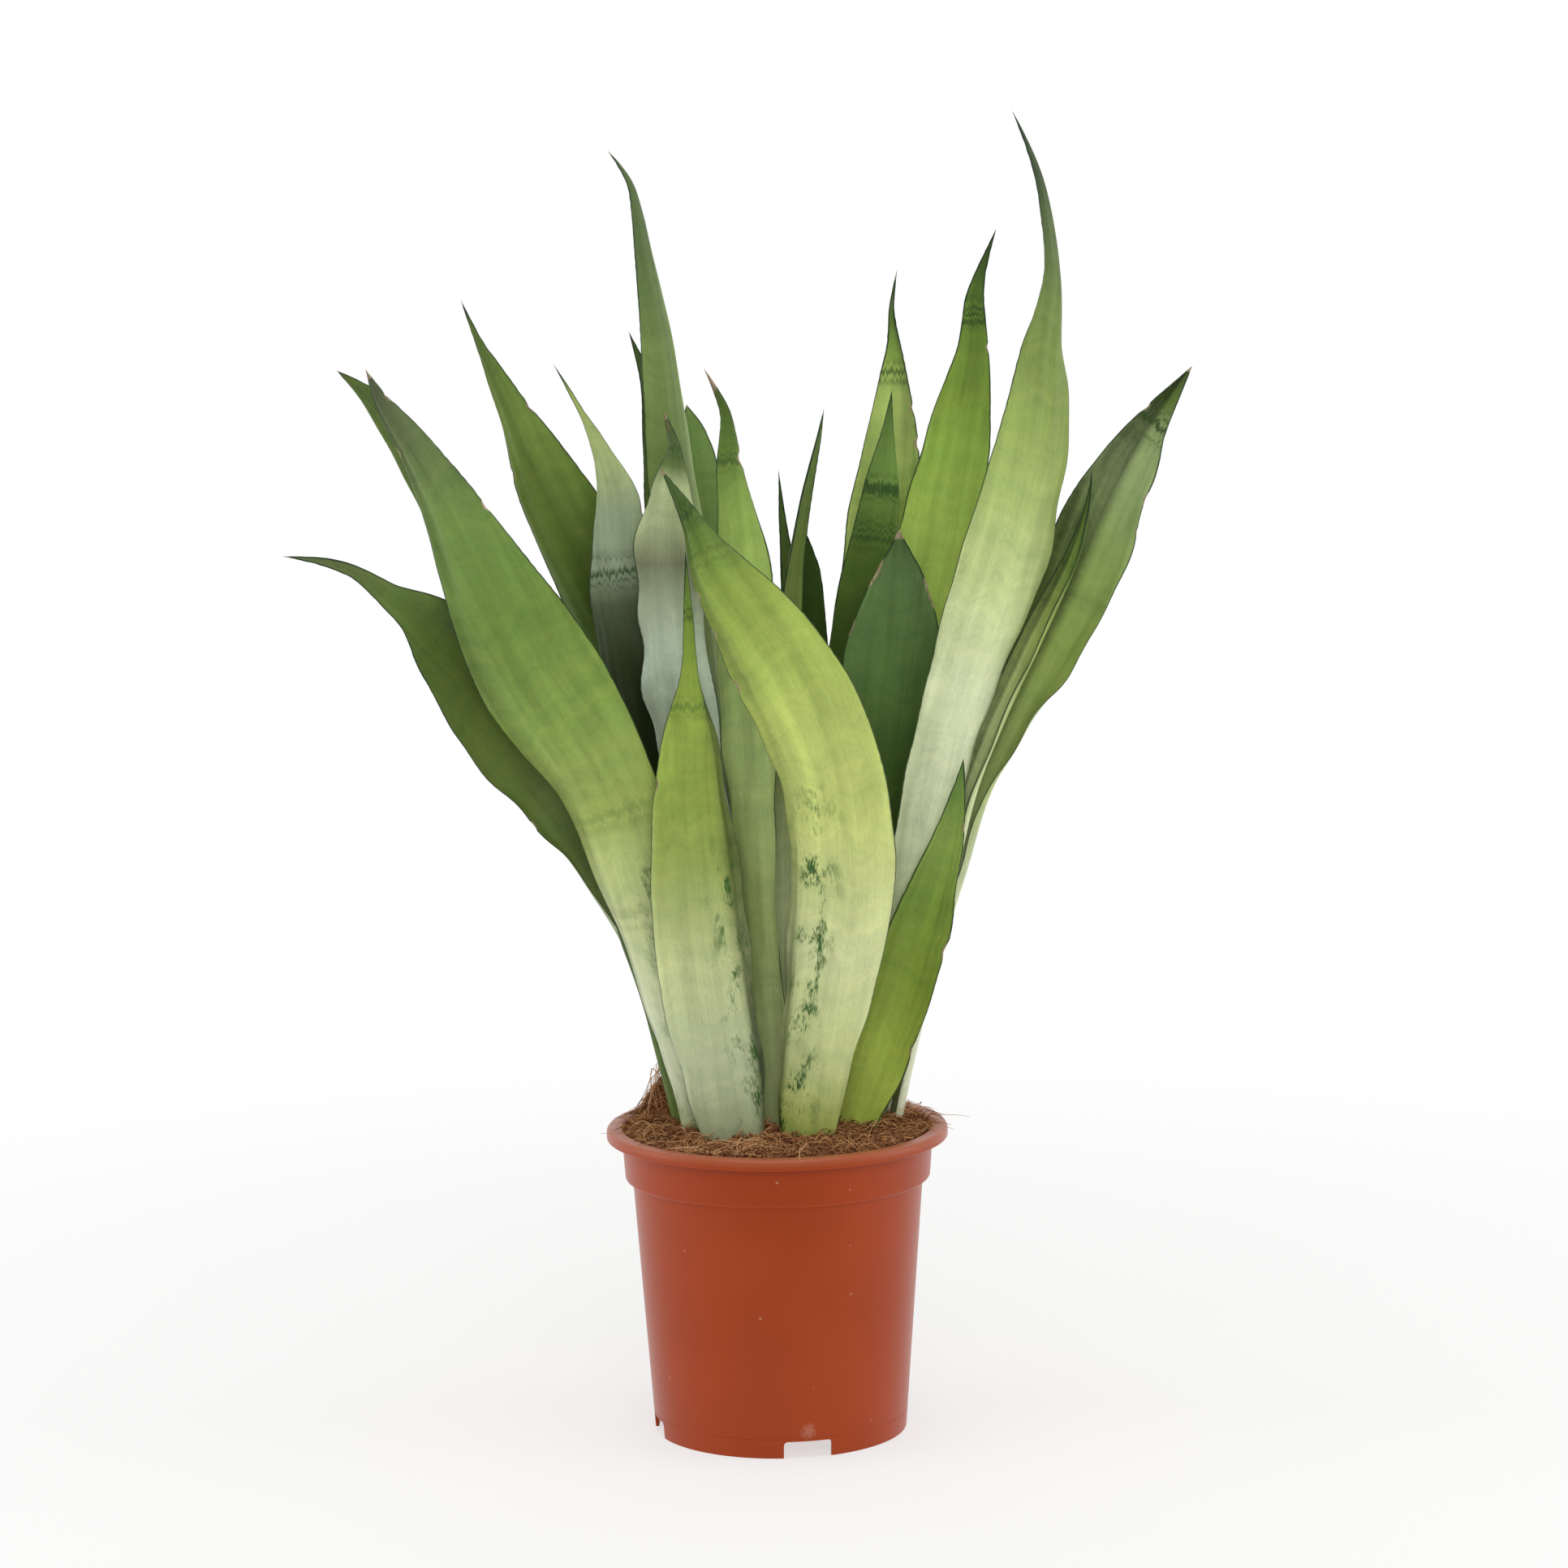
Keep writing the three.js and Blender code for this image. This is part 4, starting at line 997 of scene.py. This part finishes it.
def studio_floor(stage):
    """Matt painted floor: an even pale surface that takes a soft shadow and fades out to white."""
    material, tree, output = new_material("painted_floor")
    place = add(tree, "ShaderNodeTexCoord").outputs["Object"]
    away = add(tree, "ShaderNodeVectorMath", {0: place}, operation="LENGTH").outputs["Value"]
    fade = add(tree, "ShaderNodeMapRange", {"Value": away, "From Min": 0.1, "From Max": 1.1, "To Min": 0.62},
               interpolation_type="SMOOTHERSTEP").outputs[0]
    grain = add(tree, "ShaderNodeTexNoise", {
        "Vector": place, "Scale": 1 / (3 * MM), "Detail": 2.0}).outputs["Fac"]
    rough = add(tree, "ShaderNodeMapRange", {"Value": grain, "To Min": 0.85, "To Max": 0.95}).outputs[0]
    paint = add(tree, "ShaderNodeBsdfPrincipled", {
        "Base Color": (*stage.floor, 1), "Roughness": rough, "Specular IOR Level": 0.1})
    glow = add(tree, "ShaderNodeEmission", {"Color": (1, 1, 1, 1), "Strength": 1.0})
    mixed = add(tree, "ShaderNodeMixShader", {0: fade, 1: paint.outputs[0], 2: glow.outputs[0]})

    # In front of the pot the floor is dim to glossy rays, so that the plastic mirrors a darker room
    depth = add(tree, "ShaderNodeSeparateXYZ", {0: place}).outputs["Y"]
    ahead = add(tree, "ShaderNodeMapRange", {"Value": depth, "From Min": -0.22, "From Max": -0.42}).outputs[0]
    glossy = add(tree, "ShaderNodeLightPath").outputs["Is Glossy Ray"]
    dim = add(tree, "ShaderNodeMath", {0: ahead, 1: glossy}, operation="MULTIPLY").outputs[0]
    shade = add(tree, "ShaderNodeEmission", {"Color": (1, 1, 1, 1), "Strength": stage.mirrored})
    mixed = add(tree, "ShaderNodeMixShader", {0: dim, 1: mixed.outputs[0], 2: shade.outputs[0]})
    tree.links.new(mixed.outputs[0], output.inputs["Surface"])
    return material


def add_light(name, place, size, power, glossy):
    """A rectangular softbox that faces the plant. One that isn't glossy shows in no reflection."""
    light = bpy.data.lights.new(name, "AREA")
    light.shape = "RECTANGLE"
    light.size, light.size_y = size
    light.energy = power
    lamp = bpy.data.objects.new(name, light)
    lamp.location = place
    lamp.rotation_euler = (Vector(LIGHT_TARGET) - Vector(place)).to_track_quat("-Z", "Y").to_euler()
    lamp.visible_glossy = glossy
    bpy.context.scene.collection.objects.link(lamp)


class SNAKEPLANT_OT_stage(bpy.types.Operator):
    """Set up the camera, the floor and the studio lights"""
    bl_idname = "snakeplant.stage"
    bl_label = "Stage"

    def execute(self, context):
        scene = context.scene
        stage = scene.snakeplant_stage
        camera = bpy.data.objects.new("camera", bpy.data.cameras.new("camera"))
        camera.data.lens = CAMERA_LENS
        camera.data.sensor_width = CAMERA_SENSOR
        camera.data.clip_end = 100
        turn = (Euler((0, 0, -math.radians(CAMERA_YAW))).to_matrix()
                @ Euler((math.radians(90 - CAMERA_PITCH), 0, 0)).to_matrix()
                @ Euler((0, 0, math.radians(CAMERA_ROLL))).to_matrix())
        camera.matrix_world = Matrix.Translation(CAMERA_PLACE) @ turn.to_4x4()
        scene.collection.objects.link(camera)
        scene.camera = camera
        scene.view_settings.view_transform = "Standard"

        world = bpy.data.worlds.new("studio")
        scene.world = world
        world.use_nodes = True
        tree = world.node_tree
        tree.nodes.clear()

        # The room is bright behind the plant, dimmer in front, and dimmer still in reflections
        path = add(tree, "ShaderNodeLightPath").outputs
        front = add(tree, "ShaderNodeMix", {
            0: path["Is Glossy Ray"], 2: stage.ambient, 3: stage.mirrored}).outputs[0]
        direction = add(tree, "ShaderNodeTexCoord").outputs["Generated"]
        backward = add(tree, "ShaderNodeSeparateXYZ", {0: direction}).outputs["Y"]
        room = add(tree, "ShaderNodeMapRange", {
            "Value": backward, "From Min": -0.2, "From Max": 0.9, "To Min": front,
            "To Max": stage.backdrop}, interpolation_type="SMOOTHSTEP").outputs[0]
        strength = add(tree, "ShaderNodeMix", {0: path["Is Camera Ray"], 2: room, 3: 1.0}).outputs[0]
        sky = add(tree, "ShaderNodeBackground", {"Color": (1, 1, 1, 1), "Strength": strength})
        out = add(tree, "ShaderNodeOutputWorld")
        tree.links.new(sky.outputs[0], out.inputs["Surface"])

        for name, (place, size, power, glossy) in SOFTBOXES.items():
            add_light(name, place, size, getattr(stage, power), glossy)

        bm = bmesh.new()
        bmesh.ops.create_circle(bm, cap_ends=True, segments=96, radius=stage.floor_radius)
        mesh = bpy.data.meshes.new("floor")
        bm.to_mesh(mesh)
        bm.free()
        floor = bpy.data.objects.new("floor", mesh)
        mesh.materials.append(studio_floor(stage))
        scene.collection.objects.link(floor)
        return {"FINISHED"}


class SNAKEPLANT_OT_pot(bpy.types.Operator):
    """Build the moulded nursery pot"""
    bl_idname = "snakeplant.pot"
    bl_label = "Pot"

    def execute(self, context):
        pot = context.scene.snakeplant_pot
        solid = cut(spun(pot_outline(pot), POT_STEPS), notch_cutters(pot))
        finish_piece("pot", solid, [moulded_polypropylene(pot)], ["nursery_pot"], smooth_angle=35)
        return {"FINISHED"}


class SNAKEPLANT_OT_mix(bpy.types.Operator):
    """Build the coir potting mix with its crumbs, fibres and loose strands"""
    bl_idname = "snakeplant.mix"
    bl_label = "Potting mix"

    def execute(self, context):
        mix = context.scene.snakeplant_mix
        wall = context.scene.snakeplant_pot.wall
        bm = spun(mix_outline(wall), POT_STEPS)
        for vertex in bm.verts:
            if vertex.co.z > MIX_TOP - MERGE:
                vertex.co.z = mix_height(vertex.co.x, vertex.co.y, mix)
        pith = coir_pith(mix)
        finish_piece("potting_mix_body", bm, [pith], ["potting_mix"])

        rng = random.Random(SEED)

        def somewhere(reach=1.0):
            """An evenly random place within a share of the mix's radius."""
            angle = rng.uniform(0, 2 * math.pi)
            radius = MIX_RADIUS * reach * math.sqrt(rng.random())
            return Vector((radius * math.cos(angle), radius * math.sin(angle)))

        crumb = bmesh.new()
        bmesh.ops.create_icosphere(crumb, subdivisions=1, radius=1)
        template = bpy.data.meshes.new("crumb")
        crumb.to_mesh(template)
        crumb.free()

        def drop_crumb(copy):
            at = somewhere(0.97)
            size = MM * rng.uniform(*CRUMB_SIZE) * rng.choice((1, 1, 1, 1.7))
            shape = Vector([size * rng.uniform(0.6, 1.2) for _ in range(3)])
            turn = Euler([rng.uniform(0, math.pi) for _ in range(3)]).to_matrix()
            centre = Vector((at.x, at.y, mix_height(at.x, at.y, mix) + 0.2 * size))
            for vertex in copy:
                spot = Vector((vertex.co.x * shape.x, vertex.co.y * shape.y, vertex.co.z * shape.z))
                vertex.co = centre + turn @ (spot * rng.uniform(0.75, 1.2))
            return rng.uniform(-0.6, 0.8)

        finish_piece("pith_crumbs", scattered(template, mix.crumbs, drop_crumb), [pith])

        def drop_fibre(copy):
            lay_strand(copy, somewhere(0.99), rng.uniform(0, 2 * math.pi), MM * rng.uniform(*FIBRE_LENGTH),
                       MM * rng.uniform(*FIBRE_RADIUS), rng.uniform(*FIBRE_BEND),
                       MM * rng.uniform(*FIBRE_LIFT), mix, rng)
            return rng.random() ** 1.2

        finish_piece("coir_fibres", scattered(strand_template(FIBRE_SEGMENTS), mix.fibres, drop_fibre),
                     [coir_fibre("coir_fibre", mix, "#c99a68")])

        def drop_strand(copy):
            on_clump = rng.random() < STRANDS_ON_CLUMP
            start = CLUMP + somewhere(0.12) if on_clump else somewhere()
            lift = MM * rng.uniform(*(STRAND_LIFT_ON_CLUMP if on_clump else STRAND_LIFT))
            lay_strand(copy, start, rng.uniform(0, 2 * math.pi), MM * rng.uniform(*STRAND_LENGTH),
                       MM * rng.uniform(*STRAND_RADIUS), rng.uniform(*STRAND_BEND), lift, mix, rng)
            return rng.uniform(0.4, 1)

        finish_piece("loose_strands", scattered(strand_template(STRAND_SEGMENTS), mix.strands, drop_strand),
                     [coir_fibre("dry_coir_strand", mix, "#d9b487")])
        return {"FINISHED"}


class SNAKEPLANT_OT_leaves(bpy.types.Operator):
    """Build the leaves as fine skins over the frame's leaves"""
    bl_idname = "snakeplant.leaves"
    bl_label = "Leaves"

    def execute(self, context):
        leaves = context.scene.snakeplant_leaves
        for index, (name, look) in enumerate(LOOKS.items()):
            rng = random.Random(SEED + index)
            skin = leaf_skin(name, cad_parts[name], look, leaves, rng)
            cuticle = leaf_cuticle(name, look, leaves, 7 * index)
            finish_piece(name + "_skin", skin, [cuticle], [name])
        return {"FINISHED"}


class SNAKEPLANT_PT_panel(bpy.types.Panel):
    """Lists the plant's pieces in the sidebar"""
    bl_label = "Snake plant"
    bl_space_type = "VIEW_3D"
    bl_region_type = "UI"
    bl_category = "Snake plant"

    def draw(self, context):
        for settings in SETTINGS:
            group = getattr(context.scene, settings)
            column = self.layout.box().column()
            for name in group.__annotations__:
                column.prop(group, name)
            column.operator(settings.replace("_", "."))


CLASSES = (PotSettings, MixSettings, LeafSettings, StageSettings, SNAKEPLANT_OT_stage, SNAKEPLANT_OT_pot,
           SNAKEPLANT_OT_mix, SNAKEPLANT_OT_leaves, SNAKEPLANT_PT_panel)
SETTINGS = {"snakeplant_pot": PotSettings, "snakeplant_mix": MixSettings,
            "snakeplant_leaves": LeafSettings, "snakeplant_stage": StageSettings}


def register():
    for each in CLASSES:
        bpy.utils.register_class(each)
    for name, group in SETTINGS.items():
        setattr(bpy.types.Scene, name, PointerProperty(type=group))


def unregister():
    for name in SETTINGS:
        delattr(bpy.types.Scene, name)
    for each in reversed(CLASSES):
        bpy.utils.unregister_class(each)


def main():
    register()
    bpy.ops.snakeplant.stage()
    bpy.ops.snakeplant.pot()
    bpy.ops.snakeplant.mix()
    bpy.ops.snakeplant.leaves()


if __name__ == "__main__":
    main()
